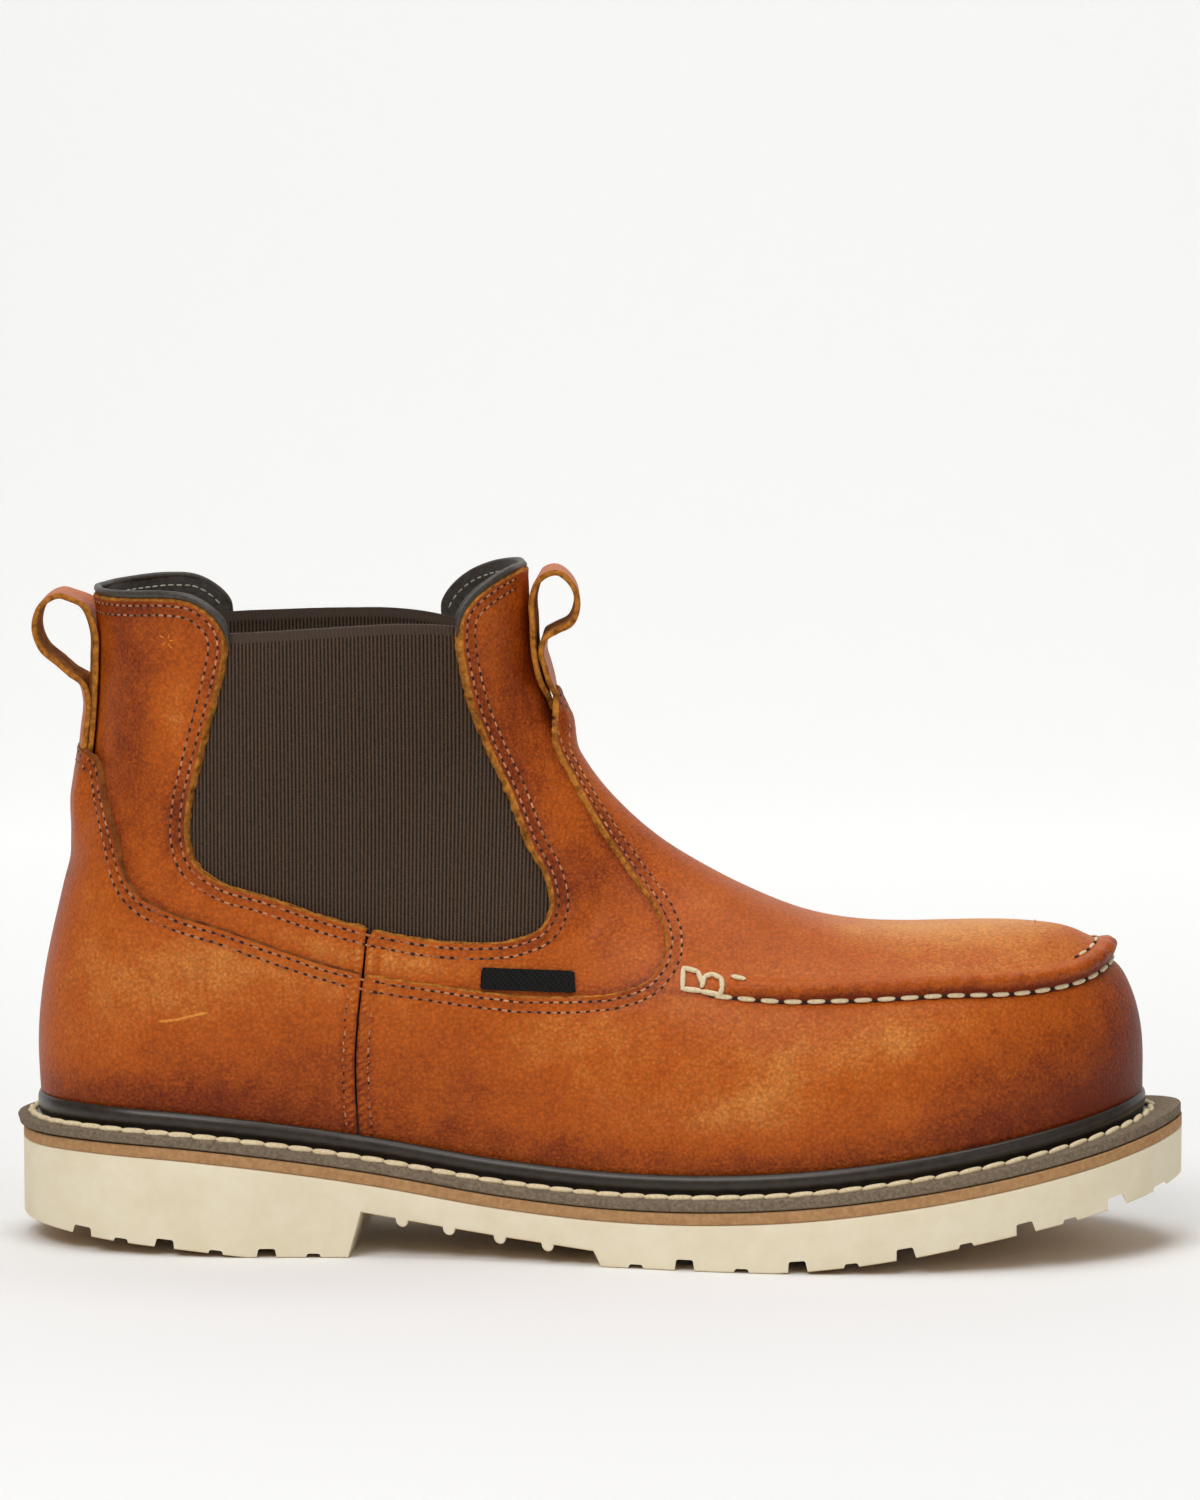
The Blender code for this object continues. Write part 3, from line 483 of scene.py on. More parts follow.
# %% Lay the net
# Columns: section, girth of the moccasin seam from the top centre line, share of its full height.
APRON_SEAM = (
    (0.0, 20.5, 0.95), (1.0, 23.4, 1.0), (2.0, 29.3, 1.0), (3.0, 36.4, 1.0), (4.0, 40.5, 1.0),
    (5.0, 42.6, 0.9), (6.0, 46.0, 0.5), (7.0, 50.0, 0.0), (16.0, 52.0, 0.0),
)
NET_ROWS = 320
APRON_COLUMNS, SEAM_COLUMNS, WALL_COLUMNS = 30, 36, 52
SEAM_NEAR, SEAM_FAR = 9.0, 6.0
FINE_PLACES = 321
# Rows over which the net is evened out, and the distance below which its two sides count as joined.
SOFT_ROWS, MEETING = 3, 0.2


def row_places():
    """Places in the SECTIONS table that are evenly spaced along the boot."""
    fine = np.linspace(0.0, len(SECTIONS) - 1, FINE_PLACES)
    ends = np.array([half_section(place, "outer")[[0, -1]] for place in fine])
    run = lengths(ends[:, 0]) + lengths(ends[:, 1])
    return np.interp(np.linspace(0.0, run[-1], NET_ROWS), run, fine)


def girth_stops(length, seam):
    """Places down one side of a section, closest together across the moccasin seam."""
    apron = np.linspace(0.0, seam - SEAM_NEAR, APRON_COLUMNS, endpoint=False)
    across = np.linspace(seam - SEAM_NEAR, seam + SEAM_FAR, SEAM_COLUMNS, endpoint=False)
    return np.concatenate((apron, across, np.linspace(seam + SEAM_FAR, length, WALL_COLUMNS)))


def net_row(place, seam):
    """Points of one section, and how far each lies past the moccasin seam."""
    halves = {}
    past = {}
    for side in SIDES:
        line = half_section(place, side)
        stops = girth_stops(lengths(line)[-1], seam)
        halves[side] = at_run(line, stops)
        past[side] = stops - seam
    points = np.vstack((halves["inner"][::-1], halves["outer"][1:]))
    return points, np.concatenate((past["inner"][::-1], past["outer"][1:]))


def soften(points, reach):
    """Evens out the rows of the net, which run on round the toe into each other."""
    pad = 3 * reach
    before = points[1 : pad + 1][::-1, ::-1]
    after = np.repeat(points[-1:], pad, axis=0)
    padded = np.concatenate((before, points, after))
    weights = np.exp(-0.5 * (np.arange(-pad, pad + 1) / reach) ** 2)
    weights /= weights.sum()
    return sum(w * padded[k : k + len(points)] for k, w in enumerate(weights))


def sides_meet(points):
    """Which rows of the net have both their ends at one place, as they do up the back."""
    return np.linalg.norm(points[:, 0] - points[:, -1], axis=1) < MEETING


PLACES = row_places()
SEAM_ROWS = smooth(APRON_SEAM, PLACES)
net = [net_row(place, seam) for place, seam in zip(PLACES, SEAM_ROWS[:, 0])]
PAST_SEAM = np.array([past for _, past in net])
LAID = np.array([points for points, _ in net])
NET = soften(LAID, SOFT_ROWS)
# The two sides meet again at the back, where evening out had drawn them apart.
joined = sides_meet(LAID)
NET[joined, 0] = NET[joined, -1] = (NET[joined, 0] + NET[joined, -1]) / 2
print("net of", NET.shape[0], "by", NET.shape[1], "points")

# %% Normals of the net
# A column of the net on the outer side's wall, where outwards is towards the camera.
OUTER_WALL = -WALL_COLUMNS // 2


def net_normals(points):
    """Outward normals, shared where the two sides meet up the back. The toe's pole takes its neighbour's."""
    before = points[1:2, ::-1]
    along = np.gradient(np.concatenate((before, points)), axis=0)[1:]
    around = np.gradient(points, axis=1)
    normals = np.cross(along, around)
    normals /= np.linalg.norm(normals, axis=2)[..., None] + 1e-9
    if normals[:, OUTER_WALL, 1].mean() > 0:
        normals = -normals
    crown = points.shape[1] // 2
    normals[0, crown] = normals[1, crown]
    met = sides_meet(points)
    shared = normals[met, 0] + normals[met, -1]
    normals[met, 0] = normals[met, -1] = shared / np.linalg.norm(shared, axis=1)[:, None]
    return normals


def sheet_tree(points):
    """A search tree of a sheet with the net's rows and columns."""
    rows, columns = points.shape[:2]
    corner = (np.arange(rows - 1)[:, None] * columns + np.arange(columns - 1)).ravel()
    quads = np.column_stack((corner, corner + 1, corner + columns + 1, corner + columns))
    return BVHTree.FromPolygons(points.reshape(-1, 3).tolist(), quads.tolist())


def skin_tree(lift):
    """A search tree of the net, moved out along its normals."""
    return sheet_tree(NET + NORMALS * lift)


NORMALS = net_normals(NET)
SKIN = skin_tree(0.0)
print("outer side faces", NORMALS[:, OUTER_WALL].mean(axis=0).round(2))

# %% [markdown]
# ## Lines on the leather
# Panel edges, seams and stitch rows were measured in side view. Each such line is laid on the leather by a
# ray from the side, and a row of stitches is the same line moved sideways along the leather. The raw edge
# of a panel slopes down by about a leather's thickness, so the cut on the grain side lies a little inside
# the measured edge.

# %% Panel edges and seams
# Columns: x, z. Leather's top edge: back tab, gore and front tab.
TOPLINE = (
    (-150.0, 176.4), (-134.5, 176.2), (-124.0, 176.6), (-114.0, 177.1), (-107.0, 176.3), (-102.0, 173.5),
    (-98.4, 169.6), (-97.0, 164.0), (-97.6, 159.0), (-100.6, 147.0), (-104.6, 132.0), (-107.3, 120.0),
    (-107.6, 112.5), (-105.4, 106.0), (-99.6, 101.8), (-87.5, 98.0), (-70.0, 92.2), (-54.5, 88.4),
    (-42.0, 86.5), (-30.0, 86.0), (-20.2, 86.9), (-14.0, 89.8), (-11.9, 94.4), (-12.8, 100.7),
    (-18.0, 110.5), (-23.5, 124.0), (-29.0, 135.5), (-32.8, 145.5), (-35.2, 156.0), (-36.3, 166.0),
    (-35.4, 172.4), (-33.0, 176.0), (-28.4, 179.9), (-22.5, 182.7), (-14.9, 184.6), (-6.0, 184.9),
)
GORE_TOP = 168.6
# On the inner side the top edge leans back, from a height upwards. The lean grows across the boot's middle.
LEAN_FROM, CROSSING = 90.0, 20.0
# Columns: x, how far back the inner edge stands, how far lower it is.
INNER_LEAN = ((-100.0, 7.0, -0.7), (-40.0, 9.0, 1.2))
# Upper edge of the counter and the vamp, back to front.
PANEL_EDGE = (
    (-160.0, 137.0), (-139.0, 136.0), (-133.8, 133.0), (-131.0, 123.5), (-126.8, 110.5), (-124.2, 102.2),
    (-120.0, 97.2), (-112.5, 93.6), (-98.0, 89.2), (-82.0, 83.5), (-68.0, 79.2), (-55.0, 76.6),
    (-42.0, 74.8), (-29.5, 73.2), (-17.5, 71.9), (-4.0, 71.8), (7.0, 73.0), (14.8, 76.2), (18.2, 81.0),
    (18.4, 86.0), (16.4, 90.8), (9.0, 100.6), (1.0, 111.4), (-8.0, 126.0), (-12.6, 134.5), (-14.8, 141.0),
    (-16.2, 148.0), (-16.6, 152.5), (-12.0, 160.0),
)
SIDE_SEAM = (
    (-59.8, 99.0), (-60.2, 86.0), (-61.0, 77.0), (-62.2, 65.0), (-63.0, 55.0), (-63.1, 45.0), (-62.8, 36.0),
    (-62.0, 18.0),
)
RAW_EDGE = 1.5
LINE_STEPS = 10
# Rays start this far to the side. The lean depends on where they hit, so leaning lines are laid in rounds.
RAY_START, LEAN_ROUNDS = 200.0, 4


def widened(line, distance):
    """A side-view line moved sideways, to the left of its run."""
    ahead = np.gradient(line, axis=0)
    ahead /= np.linalg.norm(ahead, axis=1)[:, None]
    return line + np.column_stack((-ahead[:, 1], ahead[:, 0])) * distance


def ray_to_skin(x, z, side, tree):
    """Where a ray from one side meets the leather, and the outward normal there."""
    start = Vector((x, OUTWARD[side] * RAY_START, z))
    hit, normal, _, _ = tree.ray_cast(start, Vector((0, -OUTWARD[side], 0)))
    if hit is None or hit.y * OUTWARD[side] < 0:
        return None
    if normal.y * OUTWARD[side] < 0:
        normal = -normal
    return (*hit, *normal)


def lean(x, y, z):
    """How far back and how far down the top edge stands at a place, against the outer side."""
    across = np.clip((y / CROSSING + 1) / 2, 0.0, 1.0)
    up = np.clip((z - LEAN_FROM) / (GORE_TOP - LEAN_FROM), 0.0, 1.0)
    places, backs, drops = zip(*INNER_LEAN)
    amount = across * up**2 * (3 - 2 * up)
    return amount * np.interp(x, places, backs), amount * np.interp(x, places, drops)


def laid(line, side, leans=False, tree=None, step=0.4):
    """A side-view line laid on one side of the leather, as rows of point and normal."""
    rows = []
    for x, z in even(line, step):
        y = OUTWARD[side] * CROSSING
        for _ in range(LEAN_ROUNDS if leans else 1):
            back, drop = lean(x, y, z) if leans else (0.0, 0.0)
            row = ray_to_skin(x - back, z - drop, side, tree or SKIN)
            y = row[1] if row else y
        if row:
            rows.append(row)
    return np.array(rows)


def beside(rows, side, distance):
    """A laid line moved along the leather, to the right of its run in side view."""
    ahead = np.gradient(rows[:, :3], axis=0)
    ahead /= np.linalg.norm(ahead, axis=1)[:, None]
    across = np.cross(rows[:, 3:], ahead) * OUTWARD[side]
    moved = rows[:, :3] + across * distance
    found = [SKIN.find_nearest(Vector(point)) for point in moved]
    return np.column_stack(([hit[0] for hit in found], rows[:, 3:]))


TOP_CURVE = rounded(TOPLINE, LINE_STEPS)
PANEL_CURVE = rounded(PANEL_EDGE, LINE_STEPS)
SEAM_CURVE = rounded(SIDE_SEAM, LINE_STEPS)
TOP_CUT = widened(TOP_CURVE, -RAW_EDGE)
PANEL_CUT = widened(PANEL_CURVE, -RAW_EDGE)
CUT_LINES = {
    (name, side): laid(curve, side, name == "top")
    for name, curve in (("top", TOP_CUT), ("panel", PANEL_CUT), ("seam", SEAM_CURVE))
    for side in SIDES
}
print("laid lines:", {name: len(rows) for name, rows in CUT_LINES.items()})

# %% How far each point of the net is from those lines


def distance_to(name):
    """Distance of every net point from a laid line on either side."""
    points = np.vstack([CUT_LINES[name, side][:, :3] for side in SIDES])
    tree = KDTree(len(points))
    for number, point in enumerate(points):
        tree.insert(point, number)
    tree.balance()
    flat = [tree.find(point)[2] for point in NET.reshape(-1, 3).tolist()]
    return np.array(flat).reshape(NET.shape[:2])


FROM_TOP = distance_to("top")
FROM_PANEL = distance_to("panel")
FROM_SEAM = distance_to("seam")
print("furthest from the panel edge:", round(FROM_PANEL.max()), "mm")

# %% [markdown]
# ## Relief of the leather
# The moccasin toe is sewn so that the apron's edge stands up as a puckered roll. Stitch rows pull the
# leather down into shallow channels. Soft creases sit below the gore and at the instep. All of these move
# the net's points along their normals, each from a short table, so that they are real shape and not only
# shading.

# %% Moccasin roll, stitch channels and creases
ROLL_HEIGHT = 3.6
ROLL_FROM, ROLL_FULL = 26.0, 42.0
# Columns: distance past the seam, share of the roll's height.
ROLL_PROFILE = (
    (-7.5, 0.0), (-5.0, 0.05), (-3.9, 0.26), (-2.9, 0.64), (-1.8, 0.93), (-0.7, 1.0), (0.3, 0.93),
    (1.0, 0.6), (1.5, 0.15), (2.0, -0.18), (2.7, -0.22), (4.2, -0.08), (6.5, 0.0),
)
# Each thick stitch puckers the roll: share of its height, pitch, place past the seam and half width.
PUCKER_SHARE, PUCKER_PITCH, PUCKER_AT, PUCKER_HALF = 0.1, 6.1, -0.5, 2.2
# Rows of small stitches beside a raw edge and beside the side seam, and the channel that each pulls in.
STITCH_ROWS = (1.2, 3.8)
SEAM_STITCH = 3.2
CHANNEL_DEPTH, CHANNEL_HALF = 0.22, 0.9
# The folded edges of the side seam stand up as ridges. Height, distance from the seam, half width.
RIDGE, RIDGE_AT, RIDGE_HALF = 0.95, 1.5, 1.1
# Where a panel covers the ends of a strap. Columns: x of the middle, half width, bottom, full from, height.
STRAP_BULGES = ((-139.0, 17.0, 104.0, 122.0, 2.9), (-12.0, 10.0, 132.0, 142.0, 3.2))
# How far along the boot a bulge ends and is full, and how wide its slopes are.
BULGE_END, BULGE_FULL, BULGE_SLOPE = 26.0, 18.0, 5.0
# Columns: x and z of its middle, half length, half width, direction in degrees, depth.
CREASES = (
    (-46.0, 81.5, 5.0, 2.2, 80.0, 0.5),
    (-37.0, 80.5, 5.0, 2.4, 95.0, 0.35),
    (-9.0, 84.5, 5.0, 2.2, 40.0, 0.45),
    (-1.0, 90.0, 6.0, 2.6, 60.0, 0.4),
    (-112.0, 100.0, 7.0, 2.4, 50.0, 0.4),
    (-124.0, 112.0, 8.0, 2.6, 75.0, 0.3),
    (-138.0, 104.0, 9.0, 3.2, 15.0, 0.35),
    (36.0, 84.0, 10.0, 4.0, -35.0, 0.5),
    (22.0, 96.0, 9.0, 3.6, -40.0, 0.4),
    (60.0, 60.0, 14.0, 6.0, -15.0, 0.35),
    (96.0, 52.0, 12.0, 5.0, 8.0, 0.25),
)
# Beside a crease the leather rises: share of the depth, place and width as shares of the half width.
RISE, RISE_AT, RISE_WIDTH = 0.5, 1.5, 0.8


def bump(distance, middle, width):
    """1 at the middle, and falling away to both sides over about a width."""
    return np.exp(-(((distance - middle) / width) ** 2))


def step_up(values, low, high):
    """0 up to a low value, 1 from a high value, and smooth between."""
    share = np.clip((values - low) / (high - low), 0.0, 1.0)
    return share**2 * (3 - 2 * share)


def past_seam_line(values, distance, side="outer"):
    """Values of the net on one side, along the line that runs at a distance past the moccasin seam."""
    middle = NET.shape[1] // 2
    half = np.s_[middle:] if side == "outer" else np.s_[middle::-1]
    return np.array([
        [np.interp(distance, past[half], column) for column in row[half].T]
        for past, row in zip(PAST_SEAM, values)
    ])


def roll_relief():
    """The moccasin roll with its puckers. It sinks away where the seam ends."""
    share = np.clip(SEAM_ROWS[:, 1], 0.0, 1.0)[:, None] * step_up(NET[..., 0], ROLL_FROM, ROLL_FULL)
    along = lengths(past_seam_line(NET, 0.0))[:, None]
    wave = np.cos(2 * math.pi * along / PUCKER_PITCH)
    pucker = 1 + PUCKER_SHARE * wave * bump(PAST_SEAM, PUCKER_AT, PUCKER_HALF)
    return ROLL_HEIGHT * share * pucker * np.interp(PAST_SEAM, *np.array(ROLL_PROFILE).T)


def crease_relief():
    """Soft creases, each with a low rise along one side."""
    total = np.zeros(NET.shape[:2])
    for x, z, half_length, half_width, angle, depth in CREASES:
        turn = math.radians(angle)
        dx, dz = NET[..., 0] - x, NET[..., 2] - z
        along = (dx * math.cos(turn) + dz * math.sin(turn)) / half_length
        across = (dz * math.cos(turn) - dx * math.sin(turn)) / half_width
        section = RISE * bump(across, RISE_AT, RISE_WIDTH) - bump(across, 0.0, 1.0)
        total += depth * bump(along, 0.0, 1.0) * section
    return total


def strap_relief():
    """Bulges where the counter and the vamp lie over the ends of the pull straps."""
    total = np.zeros(NET.shape[:2])
    x, y, z = np.moveaxis(NET, 2, 0)
    for middle, half, bottom, full, height in STRAP_BULGES:
        near = step_up(-np.abs(x - middle), -BULGE_END, -BULGE_FULL)
        between = step_up(-np.abs(y), -half, BULGE_SLOPE - half)
        total += height * near * between * step_up(z, bottom, full)
    return total


def channel_relief(distance, rows):
    """Channels that rows of stitches pull into the leather."""
    return -CHANNEL_DEPTH * sum(bump(distance, row, CHANNEL_HALF) for row in rows)


SEAM_RELIEF = RIDGE * bump(FROM_SEAM, RIDGE_AT, RIDGE_HALF) + channel_relief(FROM_SEAM, (SEAM_STITCH,))
CREASE_RELIEF = crease_relief()
SHAPED_RELIEF = roll_relief() + strap_relief()
PANEL_RELIEF = SHAPED_RELIEF + CREASE_RELIEF + SEAM_RELIEF + channel_relief(FROM_PANEL, STITCH_ROWS)
SHAFT_RELIEF = CREASE_RELIEF + SEAM_RELIEF + channel_relief(FROM_TOP, STITCH_ROWS)
print("relief from", PANEL_RELIEF.min().round(2), "to", PANEL_RELIEF.max().round(2), "mm")

# %% [markdown]
# ## Pull-up leather
# Oil-tanned pull-up leather is full-grain hide soaked in oils and waxes. Where it is bent or rubbed the
# oils move and it turns paler and more orange, and where it is pressed it stays dark and red. Those patches
# are listed as a tone on each point of the net. Some listed patches are painted light and shade instead:
# painted shade where the toe and the front of the leg turn away from the light, and painted highlights on
# the apron's top and the vamp's side. Painted shade also darkens the grooves of the side seam and of the
# moccasin stitches, and the shaft just above the panels' edges, and a painted highlight lies on the side
# seam's folded ridge. The shader turns the tone into colour, adds cloudy mottling, and gives the fine pores
# as bump. The wax leaves a satin sheen, so roughness is middling with a thin soft coat.

# %% Tone of the leather, with painted light and shade
# Columns: x and z of the patch, its half sizes along x and z, how much paler or darker.
TONE_AND_LIGHT_PATCHES = (
    # Painted shade: the toe's front and its lower wall turn away from the light.
    (146.0, 62.0, 14.0, 30.0, -0.75),
    (116.0, 48.0, 24.0, 14.0, -0.55),
    # Painted highlights: the apron's top, and a bright blotch on the vamp's side.
    (98.0, 88.0, 34.0, 8.0, 0.80),
    (82.0, 61.0, 14.0, 8.0, 0.42),
    (52.0, 56.0, 24.0, 9.0, 0.24),
    (38.0, 43.0, 18.0, 8.0, 0.40),
    (-10.0, 61.0, 30.0, 10.0, 0.12),
    (-34.0, 48.0, 22.0, 14.0, -0.15),
    (20.0, 108.0, 20.0, 10.0, -0.10),
    # Painted shade: the front of the leg turns away from the light.
    (-20.0, 150.0, 9.0, 40.0, -0.55),
    (-2.0, 102.0, 14.0, 14.0, -0.50),
    (-80.0, 80.0, 50.0, 11.0, 0.45),
    (-86.0, 46.0, 40.0, 12.0, -0.30),
    (-122.0, 72.0, 26.0, 10.0, 0.20),
    (-148.0, 92.0, 9.0, 26.0, -0.40),
    (-125.0, 140.0, 9.0, 42.0, -0.55),
    (-112.0, 142.0, 7.0, 10.0, 0.30),
    (-110.0, 120.0, 7.0, 10.0, -0.25),
)
# The leather is drawn darker just above the welt: how much, full up to a height, none from a height.
LOW_SHADE, LOW_SHADE_FULL, LOW_SHADE_END = 0.45, 14.0, 26.0
# The moccasin roll's outer half is drawn darker: how much, where past the seam it comes and goes.
ROLL_DARKER, ROLL_DARKER_FROM, ROLL_DARKER_TO = 0.2, (-1.9, -0.7), (2.2, 2.9)
# Bands beside a line. Columns: how much paler or darker, distance from the line, half width.
# The second band is painted shade in the groove along the moccasin stitches.
ROLL_BANDS = ((0.25, -6.0, 4.0), (-0.9, 1.9, 0.8))
# At the side seam: a painted highlight on the folded ridge, and painted shade in its groove and stitch
# channels.
SEAM_LIGHT_AND_SHADE_BANDS = ((0.3, 1.6, 1.0), (-1.0, 0.0, 0.7), (-0.4, SEAM_STITCH, 0.9))
EDGE_BANDS = ((-0.3, 1.5, 3.0),)
# Painted shadow that the vamp and the counter cast on the shaft just above their edges.
PANEL_SHADOW_BANDS = ((-0.4, 0.0, 2.8),)


def tone_bands(distance, bands):
    """Sum of the paler and darker bands beside a line."""
    return sum(amount * bump(distance, middle, half) for amount, middle, half in bands)


def leather_tone_and_shading():
    """Tone and painted light and shade of every net point, apart from what panel edges and side seams add."""
    tone = np.zeros(NET.shape[:2])
    for x, z, half_x, half_z, amount in TONE_AND_LIGHT_PATCHES:
        tone += amount * bump(NET[..., 0], x, half_x) * bump(NET[..., 2], z, half_z)
    height = NET[..., 2] - rocker(NET[..., 0].ravel()).reshape(NET.shape[:2])
    tone -= LOW_SHADE * step_up(-height, -LOW_SHADE_END, -LOW_SHADE_FULL)
    share = np.clip(SEAM_ROWS[:, 1], 0.0, 1.0)[:, None]
    darker_slope = step_up(PAST_SEAM, *ROLL_DARKER_FROM) * (1 - step_up(PAST_SEAM, *ROLL_DARKER_TO))
    return tone + share * (tone_bands(PAST_SEAM, ROLL_BANDS) - ROLL_DARKER * darker_slope)


LEATHER_TONE_AND_SHADING = leather_tone_and_shading()
SEAM_PAINTED_SHADING = tone_bands(FROM_SEAM, SEAM_LIGHT_AND_SHADE_BANDS)
PANEL_TONE_AND_SHADING = LEATHER_TONE_AND_SHADING + SEAM_PAINTED_SHADING + tone_bands(FROM_PANEL, EDGE_BANDS)
SHAFT_TONE_AND_SHADING = LEATHER_TONE_AND_SHADING + SEAM_PAINTED_SHADING + tone_bands(FROM_TOP, EDGE_BANDS) + tone_bands(FROM_PANEL, PANEL_SHADOW_BANDS)
print("tone from", LEATHER_TONE_AND_SHADING.min().round(2), "to", LEATHER_TONE_AND_SHADING.max().round(2))

# %% Leather shader
LEATHER_DARK = hex_colour("742809")
LEATHER_MIDDLE = hex_colour("BC5914")
LEATHER_PALE = hex_colour("E2984A")
# The grain and the pores are drawn about twice as coarse as they are, so that they still show in the render.
CLOUD_SIZE, MOTTLE_SIZE, PORE_SIZE, GRAIN_SIZE, WRINKLE_SIZE = 30.0, 7.0, 1.1, 0.75, 2.6
# How much each pattern adds to the tone, and the levels between which one colour turns into the next.
CLOUD_SHARE, MOTTLE_SHARE, GRAIN_SHARE = 0.8, 0.6, 0.95
DARK_TO_MIDDLE, MIDDLE_TO_PALE = (0.28, 1.28), (1.15, 2.2)
# Brightness inside a pore's cell and at its rim, where the rim is, and the pores' share of the relief.
PORE_TINT, PORE_RIM, PORE_SHARE = (1.16, 0.8), 0.8, 0.6
LEATHER_DEPTH, WRINKLE_STRENGTH = 0.3, 0.5
# Roughness where the wax lies thick, and where it is rubbed thin.
WAX_ROUGHNESS = (0.36, 0.58)


def pull_up_leather():
    """Satin oiled hide: cloudy colour that follows the tone, fine pores, and a soft waxy coat."""
    material, tree, shader, place = new_material(
        "pull_up_leather", IOR=1.46, Coat_Weight=0.1, Coat_Roughness=0.3, Specular_IOR_Level=0.14
    )
    cloud = pattern(tree, "Noise", place, CLOUD_SIZE, Detail=3.0)["Fac"]
    mottle = pattern(tree, "Noise", place, MOTTLE_SIZE, Detail=4.0)["Fac"]
    grain = pattern(tree, "Noise", place, GRAIN_SIZE, Detail=2.0)["Fac"]
    folds = pattern(tree, "Noise", place, WRINKLE_SIZE, Detail=5.0)["Fac"]
    pores = pattern(tree, "Voronoi", place, PORE_SIZE)["Distance"]
    level = point_value(tree, "tone")
    for texture, share in ((cloud, CLOUD_SHARE), (mottle, MOTTLE_SHARE), (grain, GRAIN_SHARE)):
        level = maths(tree, "MULTIPLY_ADD", texture, share, level)
    body = mixed(tree, spread(tree, level, *DARK_TO_MIDDLE, kind="SMOOTHSTEP"), LEATHER_DARK, LEATHER_MIDDLE)
    paler = mixed(tree, spread(tree, level, *MIDDLE_TO_PALE, kind="SMOOTHSTEP"), body, LEATHER_PALE)
    speck = {0: paler, "Scale": spread(tree, pores, 0.0, PORE_RIM, PORE_TINT)}
    colour = add_node(tree, "ShaderNodeVectorMath", {"operation": "SCALE"}, speck).outputs[0]
    fine = uneven(tree, maths(tree, "MULTIPLY_ADD", pores, PORE_SHARE, grain), 1.0, LEATHER_DEPTH)
    coarse = uneven(tree, folds, WRINKLE_STRENGTH, LEATHER_DEPTH, fine)
    wax = spread(tree, mottle, 0.0, 1.0, WAX_ROUGHNESS)
    finish_with(tree, shader, Base_Color=colour, Roughness=wax, Normal=coarse)
    return material


LEATHER = pull_up_leather()
print("leather:", LEATHER.name, "with", len(LEATHER.node_tree.nodes), "nodes")

# %% Raw hide and lining
# Detail of a two-tone grain, the levels at which it has its two colours, and the strength of its relief.
GRAIN_DETAIL = {"Detail": 6.0, "Roughness": 0.65}
GRAIN_LEVELS, GRAIN_STRENGTH = (0.3, 0.7), 0.7


def two_tone(name, dark, pale, size, roughness, depth, **constants):
    """A matte stuff with two mixed colours and an uneven grain, of a size and depth in millimetres."""
    material, tree, shader, place = new_material(name, Roughness=roughness, **constants)
    grain = pattern(tree, "Noise", place, size, **GRAIN_DETAIL)["Fac"]
    colour = mixed(tree, spread(tree, grain, *GRAIN_LEVELS), hex_colour(dark), hex_colour(pale))
    finish_with(tree, shader, Base_Color=colour, Normal=uneven(tree, grain, GRAIN_STRENGTH, depth))
    return material


# The cut edge shows the hide's fibres: fuzzy, dry and ochre.
RAW_HIDE = two_tone("raw_hide_edge", "5E300E", "D48A38", 2.0, 0.95, 0.8, Specular_IOR_Level=0.1)
# The counter's edge is a browner hide than the other raw edges, and its dark tone is painted shade where the
# edge lies in shadow.
COUNTER_EDGE_AND_SHADE = two_tone("counter_edge_with_painted_shade", "562610", "8E5426", 4.0, 0.85, 0.5, Specular_IOR_Level=0.1)
# Lining leather is thin pigskin dyed dark brown, with a slight sheen.
LINING = two_tone("dark_lining_leather", "2A241F", "4A423B", 1.4, 0.45, 0.12)
print("edges and lining:", RAW_HIDE.name, COUNTER_EDGE_AND_SHADE.name, LINING.name)

# %% [markdown]
# ## Cutting a panel from the net
# A cutter lays a pattern on the hide and cuts along it. Here the pattern is a side-view outline. Net points
# close to the outline are slid onto it, faces it crosses corner to corner are split, and those outside are
# deleted, so the cut edge is as smooth as the outline. The panel then gets its thickness, and its cut edge
# is drawn out into the sloping raw edge of real leather.

# %% Meeting an outline
# Columns of the net's fields that are compared with an outline: the side view, or that with the lean undone.
FOOT_PLAN, LEG_PLAN = [0, 2], [8, 9]
HALVINGS = 14


def inside(outline, x, z):
    """Which side-view points lie inside a closed outline."""
    ax, az = outline.T
    bx, bz = np.roll(ax, -1), np.roll(az, -1)
    x, z = x[..., None], z[..., None]
    spans = (az > z) != (bz > z)
    height = np.where(bz == az, 1.0, bz - az)
    reach = ax + (z - az) * (bx - ax) / height
    return (spans & (x < reach)).sum(-1) % 2 == 1


def crossing_share(outline, start, end, state):
    """How far along each edge of the net, in side view, the outline is met. Found by halving."""
    low, high = np.zeros(len(start)), np.ones(len(start))
    for _ in range(HALVINGS):
        middle = (low + high) / 2
        point = start + (end - start) * middle[:, None]
        same = inside(outline, point[:, 0], point[:, 1]) == state
        low = np.where(same, middle, low)
        high = np.where(same, high, middle)
    return (low + high) / 2


